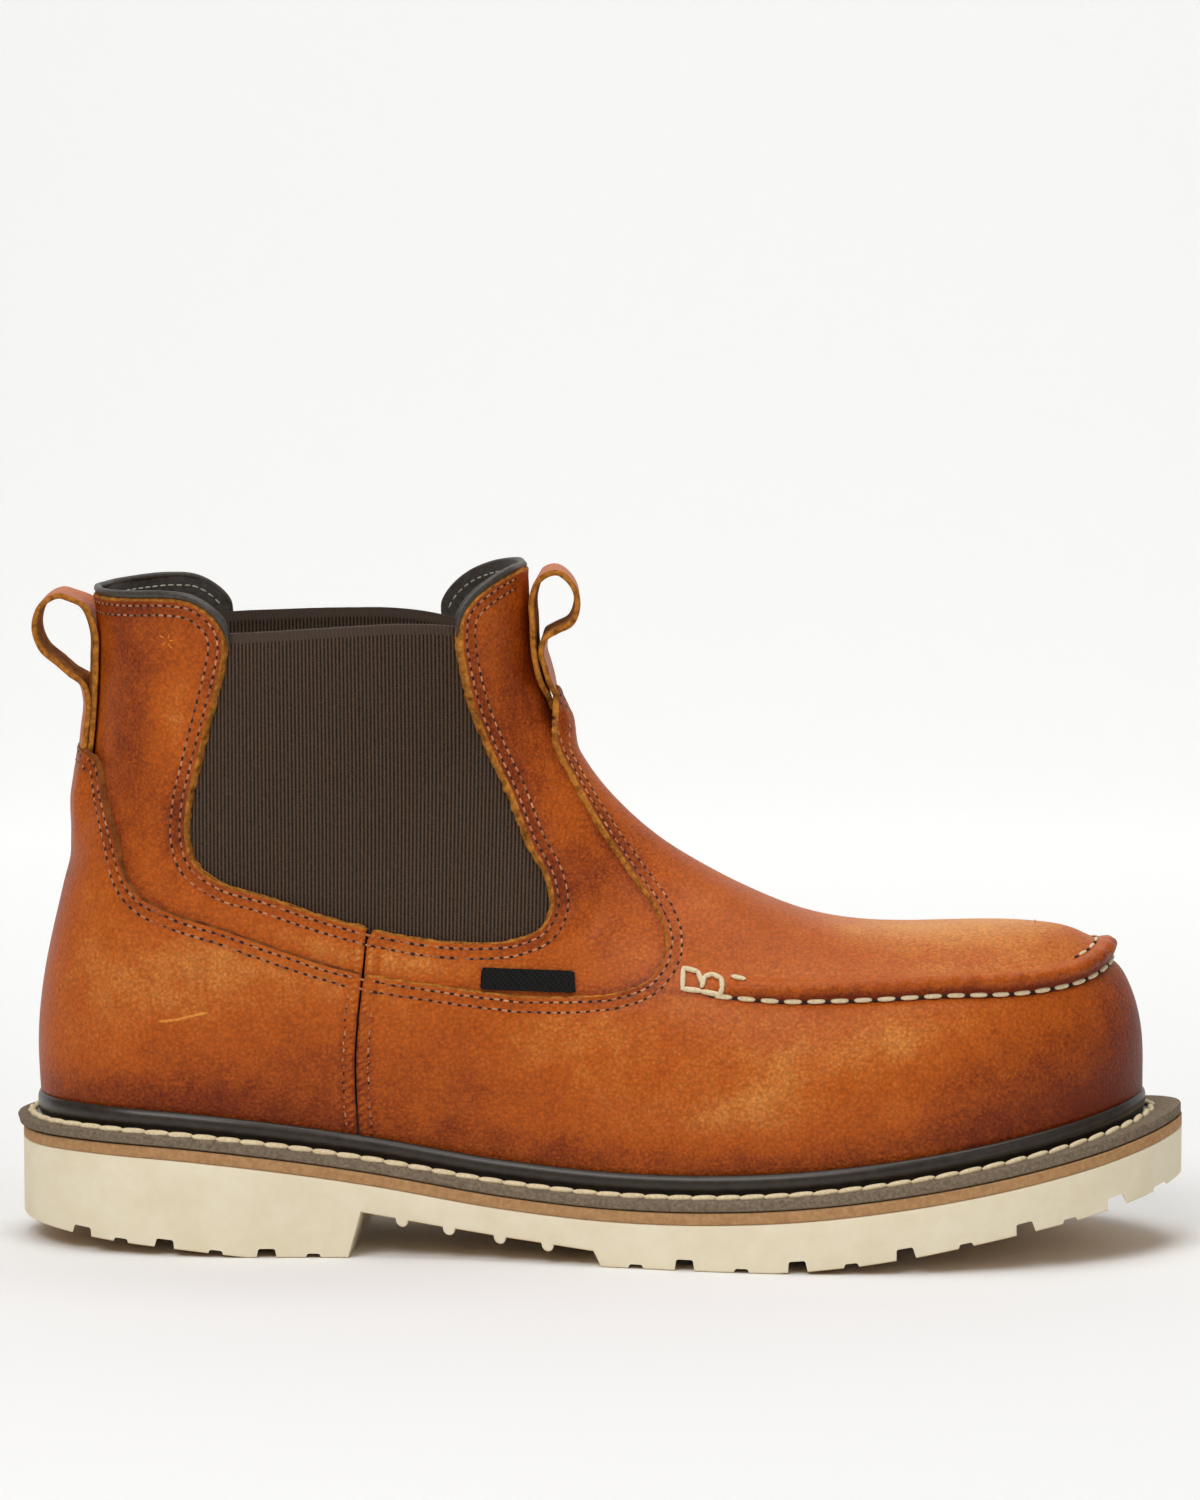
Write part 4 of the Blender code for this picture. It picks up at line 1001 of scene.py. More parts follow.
def slide_to_outline(fields, outline, wanted, plan):
    """Slides net points onto an outline. A point's state is 1 if kept, 0 on the outline and -1 outside."""
    kept = inside(outline, fields[..., plan[0]], fields[..., plan[1]]) == wanted
    state = np.where(kept, 1, -1)
    nearest = np.full(kept.shape, np.inf)
    slid = fields.copy()
    for axis in (0, 1):
        step = (1, 0) if axis == 0 else (0, 1)
        first = kept[: kept.shape[0] - step[0], : kept.shape[1] - step[1]]
        second = kept[step[0] :, step[1] :]
        starts = np.argwhere(first != second)
        if not len(starts):
            continue
        ends = starts + step
        a, b = fields[tuple(starts.T)], fields[tuple(ends.T)]
        shares = crossing_share(outline, a[:, plan], b[:, plan], kept[tuple(starts.T)] == wanted)
        met = a + (b - a) * shares[:, None]
        span = np.linalg.norm(b[:, :3] - a[:, :3], axis=1)
        for start, end, share, value, length in zip(starts, ends, shares, met, span):
            spot = tuple(start) if share < 0.5 else tuple(end)
            move = min(share, 1 - share) * length
            if move < nearest[spot]:
                nearest[spot] = move
                slid[spot] = value
            state[spot] = 0
    return slid, state


print("an outline is met within", 2.0**-HALVINGS, "of an edge of the net")

# %% Cutting along outlines
# Columns of the net's fields: place, normal, lift along the normal, tone, and the place in the leg's plan.
PLACE, NORMAL, LIFT, TONE_AT = np.s_[:3], np.s_[3:6], np.s_[6:7], 7


def fields_of(lift, relief, tone):
    """What a panel's points need to know, for every point of the net."""
    back, drop = lean(*np.moveaxis(NET, 2, 0))
    return np.dstack((NET, NORMALS, relief + lift, tone, NET[..., 0] + back, NET[..., 2] + drop))


def cropped(fields, states):
    """The part of the net that every outline keeps, with one row and column more all round."""
    kept = (states >= 0).all(axis=0)
    rows, columns = np.where(kept.any(axis=1))[0], np.where(kept.any(axis=0))[0]
    crop = np.s_[max(rows[0] - 1, 0) : rows[-1] + 2, max(columns[0] - 1, 0) : columns[-1] + 2]
    return fields[crop], states[(slice(None), *crop)]


def mark_points(mesh, tones, states):
    """Stores the tone on every vertex, and the number of the outline that it lies on."""
    tone = mesh.verts.layers.float.new("tone")
    label = mesh.verts.layers.int.new("label")
    for vertex, value, state in zip(mesh.verts, tones, states.T):
        vertex[tone] = value
        on = np.flatnonzero(state == 0)
        vertex[label] = on[0] + 1 if len(on) else 0


def faces_outside(mesh, fields, states, outlines):
    """Faces that some outline leaves out. One that is crossed from corner to corner is split first."""
    worst_at = states.min(axis=0)
    drop = []
    for face in list(mesh.faces):
        corners = [vertex.index for vertex in face.verts]
        worst = worst_at[corners]
        if worst.min() >= 0 and worst.max() > 0:
            continue
        if worst.min() >= 0:
            middle = fields[corners].mean(axis=0)[None]
            kept = [inside(line, *middle[:, plan].T)[0] == wanted for _, line, wanted, plan in outlines]
            if not all(kept):
                drop.append(face)
            continue
        ends = [vertex for vertex in face.verts if worst_at[vertex.index] == 0]
        apart = len(ends) == 2 and not any(ends[0] in edge.verts for edge in ends[1].link_edges)
        if worst.max() > 0 and apart:
            halves = (bmesh.utils.face_split(face, *ends)[0], face)
            drop += [half for half in halves if any(worst_at[vertex.index] < 0 for vertex in half.verts)]
        else:
            drop.append(face)
    return drop


def cut_net(fields, outlines):
    """A mesh of the net's faces that every outline keeps, with the outline's label on each cut vertex."""
    states = []
    for _, outline, wanted, plan in outlines:
        fields, state = slide_to_outline(fields, outline, wanted, plan)
        states.append(state)
    fields, states = cropped(fields, np.array(states))
    mesh = grid_mesh(fields[..., PLACE] + fields[..., NORMAL] * fields[..., LIFT])
    fields = fields.reshape(-1, fields.shape[-1])
    states = states.reshape(len(outlines), -1)
    mark_points(mesh, fields[:, TONE_AT], states)
    drop = faces_outside(mesh, fields, states, outlines)
    bmesh.ops.delete(mesh, geom=drop, context="FACES")
    bmesh.ops.remove_doubles(mesh, verts=mesh.verts, dist=WELD)
    mesh.normal_update()
    if sum(face.normal.y * face.calc_center_median().y for face in mesh.faces) < 0:
        bmesh.ops.reverse_faces(mesh, faces=mesh.faces)
    mesh.normal_update()
    return mesh


print("cutting tools ready")

# %% Thickness and edges
# An edge has rings at three shares of the thickness. Each kind of edge is drawn out differently at each.
EDGE_DEPTHS = (0.22, 0.62, 1.0)
RAW_DRAW, FOLD_DRAW, NO_DRAW = (0.55, 1.0, 1.1), (0.25, 0.25, 0.0), (0.0, 0.0, 0.0)
# Fibres make a drawn edge uneven by a share of its draw, in tufts of a size.
FUZZ, FUZZ_SIZE = 0.45, 1.3
# Raw edges low on the boot are pressed flat, and those on the leg stand out.
LOW_EDGE, LOW_EDGE_TOP, LEG_EDGE_FROM = 0.5, 92.0, 115.0


def edge_directions(edges):
    """At each vertex of an open edge, the direction that leads off the sheet."""
    directions = {}
    for edge in edges:
        face = edge.link_faces[0]
        way = (edge.verts[1].co - edge.verts[0].co).cross(face.normal)
        if way.dot(face.calc_center_median() - edge.verts[0].co) > 0:
            way = -way
        for vertex in edge.verts:
            directions[vertex] = directions.get(vertex, Vector()) + way.normalized()
    return {vertex: way.normalized() for vertex, way in directions.items()}


def thicken(mesh, thickness, draws):
    """Gives a cut sheet its thickness. draws holds, for each label, how far its edge is drawn out."""
    label = mesh.verts.layers.int["label"]
    rim = [edge for edge in mesh.edges if edge.is_boundary]
    ways = edge_directions(rim)
    below = {vertex: -vertex.normal * thickness for vertex in mesh.verts}

    def edge_place(vertex, depth, number):
        """Where a vertex of the cut edge goes in one of the edge's rings."""
        draw = draws.get(vertex[label], NO_DRAW)
        fuzzy = 1 + FUZZ * noise.noise(vertex.co / FUZZ_SIZE)
        stands = LOW_EDGE + (1 - LOW_EDGE) * float(step_up(vertex.co.z, LOW_EDGE_TOP, LEG_EDGE_FROM))
        return vertex.co + below[vertex] * depth + ways[vertex] * draw[number] * fuzzy * stands

    places = [
        {vertex: edge_place(vertex, depth, number) for vertex in ways}
        for number, depth in enumerate(EDGE_DEPTHS)
    ]
    twins = bmesh.ops.duplicate(mesh, geom=mesh.faces[:])
    lining = [part for part in twins["geom"] if isinstance(part, bmesh.types.BMFace)]
    bmesh.ops.reverse_faces(mesh, faces=lining)
    for face in lining:
        face.material_index = 2
    for vertex, move in below.items():
        twin = twins["vert_map"][vertex]
        twin.co = places[-1][vertex] if vertex in ways else vertex.co + move
    source = {vertex: vertex for vertex in ways}
    for ring in places:
        grown = bmesh.ops.extrude_edge_only(mesh, edges=rim)["geom"]
        fresh = {part for part in grown if isinstance(part, bmesh.types.BMVert)}
        rim = [part for part in grown if isinstance(part, bmesh.types.BMEdge) and set(part.verts) <= fresh]
        for face in (part for part in grown if isinstance(part, bmesh.types.BMFace)):
            face.material_index = 1
        follow = {}
        for vertex in fresh:
            before = [edge.other_vert(vertex) for edge in vertex.link_edges]
            follow[vertex] = next(source[other] for other in before if other in source)
            vertex.co = ring[follow[vertex]]
        source = follow
    return outwards(mesh, CLOSE_WELD)


print("raw edges are drawn out by up to", max(RAW_DRAW), "mm")

# %% [markdown]
# ## Vamp, counter and shaft
# The vamp wraps the toe and climbs the instep. The counter wraps the heel. Both are sewn over the shaft,
# whose two halves meet them at the side seam below the gore. Each is cut from the net with the same
# outlines, and the vamp and counter lie one leather's step higher than the shaft. Folded seam edges dip
# into a groove, raw edges show the hide.

# %% Cut the leather panels
PANEL_LIFT = 1.2
PANEL_THICKNESS = 1.3
SHAFT_THICKNESS = 2.4
SEAM_GAP = 0.3
# How far the shaft goes on under the vamp and the counter.
HEM = 8.0
# Corners well outside the boot, which close the outlines. Columns: x, z.
PANEL_CORNERS = ((190.0, 160.0), (190.0, -20.0), (-190.0, -20.0), (-190.0, 137.0))
BEHIND_CORNERS = ((-62.0, -40.0), (-250.0, -40.0), (-250.0, 250.0), (-59.8, 250.0))
ABOVE_CORNERS = ((TOPLINE[-1][0], 230.0), (TOPLINE[0][0], 230.0))


def closed(line, *corners):
    """A closed outline from a line and the corners that follow it."""
    return np.vstack((line, corners))


PANEL_AREA = closed(PANEL_CUT, *PANEL_CORNERS)
HEM_AREA = closed(widened(PANEL_CURVE, -HEM), *PANEL_CORNERS)
ABOVE_AREA = closed(TOP_CUT, *ABOVE_CORNERS)
BEHIND_SEAM = closed(widened(SEAM_CURVE, -SEAM_GAP), *BEHIND_CORNERS)
BEFORE_SEAM = closed(widened(SEAM_CURVE, SEAM_GAP), *BEHIND_CORNERS)


def leather_panel(name, fields, outlines, thickness, edge):
    """Cuts a panel. Outlines are rows of edge kind, outline, whether the panel lies inside it, and plan."""
    kinds = {"raw": RAW_DRAW, "fold": FOLD_DRAW, "hidden": NO_DRAW}
    draws = {number + 1: kinds[row[0]] for number, row in enumerate(outlines)}
    mesh = thicken(cut_net(fields, outlines), thickness, draws)
    return add_piece(name, to_metres(name, mesh), [LEATHER, edge, LINING], "upper")


panel_fields = fields_of(PANEL_LIFT, PANEL_RELIEF, PANEL_TONE_AND_SHADING)
shaft_fields = fields_of(0.0, SHAFT_RELIEF, SHAFT_TONE_AND_SHADING)
panel_edge = ("raw", PANEL_AREA, True, FOOT_PLAN)
shaft_edges = (("raw", ABOVE_AREA, False, LEG_PLAN), ("hidden", HEM_AREA, False, FOOT_PLAN))
before = ("fold", BEFORE_SEAM, False, FOOT_PLAN)
behind = ("fold", BEHIND_SEAM, True, FOOT_PLAN)
leather_panel("vamp", panel_fields, (panel_edge, before), PANEL_THICKNESS, RAW_HIDE)
leather_panel("counter", panel_fields, (panel_edge, behind), PANEL_THICKNESS, COUNTER_EDGE_AND_SHADE)
leather_panel("shaft_front", shaft_fields, (*shaft_edges, before), SHAFT_THICKNESS, RAW_HIDE)
leather_panel("shaft_back", shaft_fields, (*shaft_edges, behind), SHAFT_THICKNESS, RAW_HIDE)

# %% [markdown]
# ## Elastic gores
# The gore is woven elastic: rubber threads covered in brown yarn run up and down as fine ribs, and a narrow
# selvedge finishes the top. It lies behind the leather's cut edge, a little slack. The ribs could be
# modelled, but at under a millimetre they are better as bump and colour from two crossed waves. That colour
# is painted shade and light: darker in the hollows between ribs and paler on their crests.

# %% Elastic webbing
# The ribs are drawn a little wider than they are, so that they show.
RIB_PITCH, KNIT_PITCH, YARN_SIZE = 1.0, 0.75, 0.5
# Share of the knit in the relief, how far the relief shifts the colour as painted shade and light, and the
# relief's strength and depth.
KNIT_SHARE, RIB_PAINTED_SHADING, RIB_STRENGTH, RIB_DEPTH = 0.6, 0.45, 0.8, 0.12
SELVEDGE, SELVEDGE_BLUR = 2.4, 0.4


def elastic_webbing():
    """Ribbed brown webbing: dull yarn, rubber ribs that catch a little light, and painted shade between the
    ribs.
    """
    material, tree, shader, place = new_material("ribbed_elastic", Roughness=0.85, Specular_IOR_Level=0.2)
    axes = add_node(tree, "ShaderNodeSeparateXYZ", None, {0: place}).outputs
    ribs, rows = (
        maths(tree, "SINE", maths(tree, "MULTIPLY", axes[axis], 2 * math.pi * per_mm(pitch)))
        for axis, pitch in (("X", RIB_PITCH), ("Z", KNIT_PITCH))
    )
    height = maths(tree, "MULTIPLY_ADD", maths(tree, "MULTIPLY", ribs, rows), KNIT_SHARE, ribs)
    yarn = pattern(tree, "Noise", place, YARN_SIZE, Detail=3.0)["Fac"]
    shade = maths(tree, "MULTIPLY_ADD", height, RIB_PAINTED_SHADING, yarn)
    webbing = mixed(tree, shade, hex_colour("080403"), hex_colour("604C3C"))
    band = spread(tree, point_value(tree, "tone"), SELVEDGE + SELVEDGE_BLUR, SELVEDGE)
    colour = mixed(tree, band, webbing, hex_colour("4E4036"))
    finish_with(tree, shader, Base_Color=colour, Normal=uneven(tree, height, RIB_STRENGTH, RIB_DEPTH))
    return material


ELASTIC = elastic_webbing()
print("webbing with ribs", RIB_PITCH, "mm apart")

# %% Cut the gores
# First and last point of the opening in the top edge.
GORE_FIRST, GORE_LAST = 7, 29
GORE_MARGIN = 8.0
GORE_DEPTH = 2.6
GORE_THICKNESS = 1.8
# The cut's sides stop this far below the opening's top, and its rim closes it.
GORE_SIDES_END = 4.0
# Top edge of the webbing, a little slack. Columns: x, z.
GORE_RIM = ((-108, 166.6), (-88, 167.6), (-64, 169.0), (-50, 169.5), (-42, 169.2), (-26, 167.2))
RIM_STEPS = 8
# Slack makes the webbing wave: depth, lengths along and up over two pi, and the height where it starts.
SLACK, SLACK_ALONG, SLACK_UP, SLACK_FROM = 0.35, 9.0, 27.0, 85.0
# A groove parts the selvedge from the ribs: depth and half width.
GROOVE, GROOVE_HALF = 0.3, 0.6
gore_edge = widened(rounded(TOPLINE[GORE_FIRST : GORE_LAST + 1], LINE_STEPS), -GORE_MARGIN)
gore_sides = gore_edge[gore_edge[:, 1] < GORE_TOP - GORE_SIDES_END]
GORE_AREA = closed(gore_sides, *rounded(GORE_RIM, RIM_STEPS)[::-1])
leg_plan = fields_of(0.0, CREASE_RELIEF, LEATHER_TONE_AND_SHADING)[..., LEG_PLAN]
below_rim = smooth(GORE_RIM, leg_plan[..., 0].ravel())[:, 0].reshape(NET.shape[:2]) - leg_plan[..., 1]
slack = SLACK * np.sin(NET[..., 0] / SLACK_ALONG) * np.sin((NET[..., 2] - SLACK_FROM) / SLACK_UP)
gore_relief = slack - GROOVE * bump(below_rim, SELVEDGE, GROOVE_HALF)
gore_fields = fields_of(-GORE_DEPTH, gore_relief, below_rim)
half_columns = NET.shape[1] // 2
for side, columns in (("inner", np.s_[: half_columns + 1]), ("outer", np.s_[half_columns:])):
    gore = cut_net(gore_fields[:, columns], (("hidden", GORE_AREA, True, LEG_PLAN),))
    thicken(gore, GORE_THICKNESS, {})
    name = "gore_" + side
    add_piece(name, to_metres(name, gore), [ELASTIC, ELASTIC, ELASTIC], name)

# %% [markdown]
# ## Collar rolls
# The dark lining is turned over a cord at the top of each tab and stands above the raw leather edge as a
# roll. It is a tube that follows the tab's edge from the outer side round to the inner side, so a ring of
# points is carried along that path and the ends are closed.

# %% Tubes and rolls
ROLL_RADIUS = 1.05
ROLL_RISE = 0.3
ROLL_INSET = 1.3
# The laid line stops this far from the boot's middle plane, and a curve goes on across it.
ROLL_OPEN = 9.0
TAB_STEPS, CURVE_STEPS, CURVE_SPAN, ROLL_STEP = 6, 4, 3.0, 0.8
# A roll thins at its ends, over a length and down to a share.
ROLL_END, ROLL_END_SHARE = 6.0, 0.25


def frames_along(path):
    """Two cross directions at each point of a path, turning as little as possible."""
    ahead = np.gradient(path, axis=0)
    ahead /= np.linalg.norm(ahead, axis=1)[:, None]
    first = np.cross(ahead[0], np.roll(ahead[0], 1))
    sides = [first / np.linalg.norm(first)]
    for way in ahead[1:]:
        side = sides[-1] - way * sides[-1].dot(way)
        sides.append(side / np.linalg.norm(side))
    sides = np.array(sides)
    return sides, np.cross(ahead, sides)


def tube_mesh(path, radius, ring=16):
    """A round tube along a path, with closed ends. The radius may change from point to point."""
    sides, ups = frames_along(path)
    angles = np.linspace(0.0, 2 * math.pi, ring + 1)[None, :, None]
    circle = np.cos(angles) * sides[:, None] + np.sin(angles) * ups[:, None]
    radii = np.broadcast_to(radius, len(path))[:, None, None]
    return capped(outwards(grid_mesh(path[:, None] + circle * radii), CLOSE_WELD), ring)


def roll_path(edge, centre_x):
    """The roll's line above a tab, from the outer gore edge round the centre to the inner gore edge."""
    above = widened(rounded(edge, TAB_STEPS), ROLL_RISE)
    inside_skin = skin_tree(-ROLL_INSET)
    halves = {}
    for side in SIDES:
        places = laid(above, side, True, inside_skin, ROLL_STEP)[:, :3]
        kept = places[np.abs(places[:, 1]) > ROLL_OPEN]
        halves[side] = kept[np.argsort(-np.abs(kept[:, 0] - centre_x))]
    top = (halves["outer"][-1][2] + halves["inner"][-1][2]) / 2
    line = np.vstack((halves["outer"], (centre_x, 0.0, top), halves["inner"][::-1]))
    return even(rounded(even(line, CURVE_SPAN), CURVE_STEPS), ROLL_STEP)


BACK_TOP_X = float(np.interp(TOPLINE[0][1], *np.array(BACK_LINE).T[::-1]))
# Columns: name of the end, the tab's edge, x of the centre line at the collar.
TABS = (
    ("back", TOPLINE[: GORE_FIRST + 1], BACK_TOP_X + ROLL_INSET),
    ("front", TOPLINE[GORE_LAST:], DORSAL_LINE[-1][0] - ROLL_INSET),
)
for end, edge, centre_x in TABS:
    name = "collar_roll_" + end
    path = roll_path(edge, centre_x)
    run = lengths(path)
    taper = np.clip(np.minimum(run, run[-1] - run) / ROLL_END, ROLL_END_SHARE, 1.0)
    roll = tube_mesh(path, ROLL_RADIUS * taper)
    add_piece(name, to_metres(name, roll), [LINING], name)

# %% [markdown]
# ## Pull loops
# Each loop is a strap of the same hide, folded so that its grain faces out and its fuzzy flesh side faces
# the hand. In side view the fold is a line, and a rounded strap section carried along it makes the loop.
# Faces on the grain side take the leather, and edges and flesh side take the raw hide.

# %% Straps
STRAP_WIDTH = 24.0
STRAP_THICKNESS = 1.6
STRAP_CORNER = 0.42 * STRAP_THICKNESS
STRAP_TONE = 0.15
# The far edge is turned back by a slope, and by a share less where the strap is held.
STRAP_TWIST, HELD_SHARE = 0.085, 0.6
# A strap is held this near to the leg, and loose that far from it.
HELD_TO, LOOSE_FROM = 3.0, 6.0
# Its covered ends widen between these heights above the lowest point.
ENDS_FROM, ENDS_TO = 2.0, 9.0
# Its edges wave by a share of the width. The second value is the wave's length over two pi.
STRAP_WAVE, STRAP_WAVE_RUN = 0.02, 7.0
STRAP_SPAN_STEPS, STRAP_STEP, STRAP_RING_STEP = 8, 0.8, 0.45
# Middle of each strap from its lower inner end, round the loop, to its lower outer end. Columns: x, z.
BACK_STRAP = (
    (-139.8, 129.0), (-138.6, 139.0), (-137.9, 149.0), (-137.5, 158.0), (-137.7, 166.0), (-140.4, 172.4),
    (-145.6, 175.4), (-150.4, 172.8), (-152.4, 166.6), (-150.6, 161.0), (-145.4, 156.4), (-140.9, 151.8),
    (-139.6, 146.5), (-140.3, 139.0), (-141.4, 129.0),
)
FRONT_STRAP = (
    (-12.3, 145.0), (-14.9, 151.6), (-17.0, 160.7), (-17.4, 168.6), (-17.6, 175.2), (-15.6, 180.3),
    (-10.8, 182.4), (-6.4, 178.8), (-5.2, 173.2), (-6.9, 168.7), (-10.8, 166.6), (-14.0, 164.6),
    (-15.1, 160.7), (-14.0, 156.6), (-12.5, 151.4), (-10.4, 145.4),
)
# Front centre line of the leg, from just above the toe's crown. Columns: x, z.
CROWN_TOP = DORSAL_LINE[0][2] + 2.0
FRONT_LEG = DORSAL[DORSAL[:, 2] > CROWN_TOP][:, [0, 2]]
# Columns: end, line, leg, side of the grain, wrap of the edges, share of the width at the covered ends.
STRAPS = (
    ("back", BACK_STRAP, np.array(BACK_LINE), -1.0, 2.0, 1.0),
    ("front", FRONT_STRAP, FRONT_LEG, 1.0, 0.0, 0.3),
)


def strap_section():
    """Ring of a strap's section with round corners. Columns: through the thickness, across the width."""
    core = np.array((STRAP_THICKNESS, STRAP_WIDTH)) / 2 - STRAP_CORNER
    turns = np.radians(np.arange(5.0, 365.0, 10.0))
    ways = np.column_stack((np.cos(turns), np.sin(turns)))
    ring = np.sign(ways) * core + ways * STRAP_CORNER
    return even(np.vstack((ring, ring[:1])), STRAP_RING_STEP)


def strap_points(line, leg, ring, wrap, end_width):
    """The cross section carried along a strap's line. Where it lies on the leg its edges wrap round it."""
    path = even(rounded(line, STRAP_SPAN_STEPS), STRAP_STEP)
    from_leg = np.abs(path[:, 0] - np.interp(path[:, 1], leg[:, 1], leg[:, 0]))
    held = step_up(-from_leg, -LOOSE_FROM, -HELD_TO)[:, None]
    share = end_width + (1 - end_width) * step_up(path[:, 1:] - path[0, 1], ENDS_FROM, ENDS_TO)
    wave = 1 + STRAP_WAVE * np.sin(lengths(path)[:, None] / STRAP_WAVE_RUN)
    wrapped = wrap * held * (ring[:, 1] / STRAP_WIDTH * 2) ** 2
    turned = STRAP_TWIST * (1 - HELD_SHARE * held) * (ring[:, 1] + STRAP_WIDTH / 2)
    left = widened(path, 1.0) - path
    x = path[:, :1] + left[:, :1] * ring[:, 0] + wrapped - turned
    z = path[:, 1:] + left[:, 1:] * ring[:, 0]
    return np.dstack((x, ring[:, 1] * share * wave, z))


def make_strap(end, line, leg, grain_side, wrap, end_width):
    """Folds a strap, with leather on its grain side and raw hide on its edges and flesh side."""
    ring = strap_section()
    mesh = grid_mesh(strap_points(line, leg, ring, wrap, end_width))
    columns = len(ring) - 1
    for face in mesh.faces:
        column = face.index % columns
        offset = (ring[column, 0] + ring[column + 1, 0]) / 2 * grain_side
        face.material_index = 0 if offset > STRAP_CORNER else 1
    tone = mesh.verts.layers.float.new("tone")
    for vertex in mesh.verts:
        vertex[tone] = STRAP_TONE
    capped(outwards(mesh, CLOSE_WELD), len(ring))
    name = "pull_loop_" + end
    return add_piece(name, to_metres(name, mesh), [LEATHER, RAW_HIDE], name)


for row in STRAPS:
    make_strap(*row)

# %% [markdown]
# ## Side tab
# A short bare tape is caught in the edge of the vamp, below the gore on the outer side. It is cut from the
# same net, so that it lies on the shaft, and its weave is fine enough to be bump.

# %% Woven tape
# Corners of the tape in side view. Columns: x, z.
SIDE_TAB = ((-29.3, 78.5), (-4.6, 77.3), (-4.2, 71.6), (-29.6, 72.6))
TAB_THICKNESS = 0.8
TAB_LIFT = 0.95
# The weave is drawn coarser than it is, so that it shows.
WEAVE_PITCH, WEAVE_STRENGTH, WEAVE_DEPTH = 0.7, 0.4, 0.1


def woven_tape():
    """Dense black polyester tape: dull, with a tiny over-and-under weave."""
    material, tree, shader, place = new_material("black_woven_tape", Roughness=0.75, Specular_IOR_Level=0.15)
    colours = {"Color1": hex_colour("0C0C0C"), "Color2": hex_colour("1C1B1A")}
    weave = pattern(tree, "Checker", place, WEAVE_PITCH, **colours)
    relief = uneven(tree, weave["Fac"], WEAVE_STRENGTH, WEAVE_DEPTH)
    finish_with(tree, shader, Base_Color=weave["Color"], Normal=relief)
    return material


TAPE = woven_tape()
plain = np.zeros(NET.shape[:2])
tape_fields = fields_of(TAB_LIFT, plain, plain)[:, half_columns:]
tape = cut_net(tape_fields, (("hidden", np.array(SIDE_TAB), True, FOOT_PLAN),))
thicken(tape, TAB_THICKNESS, {})
add_piece("side_tab", to_metres("side_tab", tape), [TAPE, TAPE, TAPE], "side_tab")

# %% [markdown]
# ## Sole layers
# The outsole is one moulding of cream rubber, with a heel, ribs under the waist, and lugs along its edge.
# The midsole is a thin tan sheet, and the insole closes the inside. Each is a stack of cross sections from
# heel to toe with small round corners. The lugs are notches in a mould, so they are cut away with slanted
# bars.

# %% Cross sections of a layer
ARC = np.radians(np.linspace(0.0, 90.0, 5))
# Columns: angle at a corner's start, steps on the straight that follows.
CORNERS = ((math.pi, 10), (1.5 * math.pi, 4), (0.0, 10), (0.5 * math.pi, 4))
# A corner takes up at most this share of the width, which is small at the ends of a layer.
CORNER_SHARE = 0.3
END_GAP, END_WELD = 0.02, 0.0005


def edges_at(line, x):
    """Where a closed outline's outer and inner edges stand at places along the boot."""
    halves = branches(line)
    return [np.interp(x, *halves[side][np.argsort(halves[side][:, 0])].T) for side in ("outer", "inner")]


def stations(line, count, extra=()):
    """Places from heel to toe, closer together at the rounded ends."""
    low, high = line[:, 0].min() + END_GAP, line[:, 0].max() - END_GAP
    places = (low + high) / 2 - (high - low) / 2 * np.cos(np.linspace(0.0, math.pi, count))
    return np.unique(np.concatenate((places, extra)).round(3))


def layer_mesh(line, x, low, high, radius):
    """A layer of the sole with round edges, between two heights at each place along the boot."""
    outer, inner = edges_at(line, x)
    corner = np.minimum(radius, CORNER_SHARE * (inner - outer))
    arcs = []
    for start, _ in CORNERS:
        middle = start + math.pi / 4
        y = inner - corner if math.cos(middle) > 0 else outer + corner
        z = high - corner if math.sin(middle) > 0 else low + corner
        arcs.append(np.array([(y + corner * math.cos(t), z + corner * math.sin(t)) for t in start + ARC]))
    ring = []
    for (_, steps), arc, following in zip(CORNERS, arcs, arcs[1:] + arcs[:1]):
        ring.extend(arc)
        ring.extend(arc[-1] + (following[0] - arc[-1]) * k / steps for k in range(1, steps))
    section = np.array([*ring, ring[0]]).transpose(2, 0, 1)
    along = np.broadcast_to(x[:, None, None], (*section.shape[:2], 1))
    mesh = grid_mesh(np.concatenate((along, section), axis=2))
    bmesh.ops.remove_doubles(mesh, verts=mesh.verts, dist=END_WELD)
    return capped(mesh, 0)


print("sole is", np.ptp(OUTLINE[:, 0]).round(1), "mm long")

# %% Tread profile
# Underside of the outsole: heel, breast, waist, tread step and toe spring. Columns: x, z.
TREAD = (
    (-158, 6.5), (-150, 5.6), (-138, 4.4), (-122, 2.9), (-106, 1.4), (-92, 0.0), (-65, 0.0), (-61.5, 12.4),
    (-42, 9.3), (-23, 6.7), (-7, 5.0), (1.5, 4.1), (3.5, 0.0), (30, 0.0), (50, 0.0), (60, 0.8), (73, 2.3),
    (89, 4.8), (99, 6.7), (115, 9.7), (131, 12.7), (143, 15.4), (152, 17.6), (158, 19.4),
)
WAIST_RIBS = (-50.5, -37.8, -24.0, -11.0)
RIB_RADIUS, RIB_DROP = 1.6, 0.4


def tread_height(x):
    """Height of the outsole's underside at places along the boot, with the ribs of its waist."""
    z = np.interp(x, *np.array(TREAD).T)
    for rib in WAIST_RIBS:
        off = np.abs(x - rib)
        drop = np.sqrt(np.clip(RIB_RADIUS**2 - off**2, 0.0, None)) + RIB_DROP
        z = z - np.where(off < RIB_RADIUS, drop, 0.0)
    return z


print("toe spring", TREAD[-1][1], "mm and heel spring", TREAD[0][1], "mm")

# %% Notches of the tread
SHALLOW_CUTS = (-126.5, -100.5, -74.3, 12.9, 41.2, 70.4, 100.6, 128.0, 152.0)
HEEL_CUTS = (-137.7, -114.5, -86.8)
TOE_CUTS = (26.0, 56.2, 84.8, 116.3, 140.5)
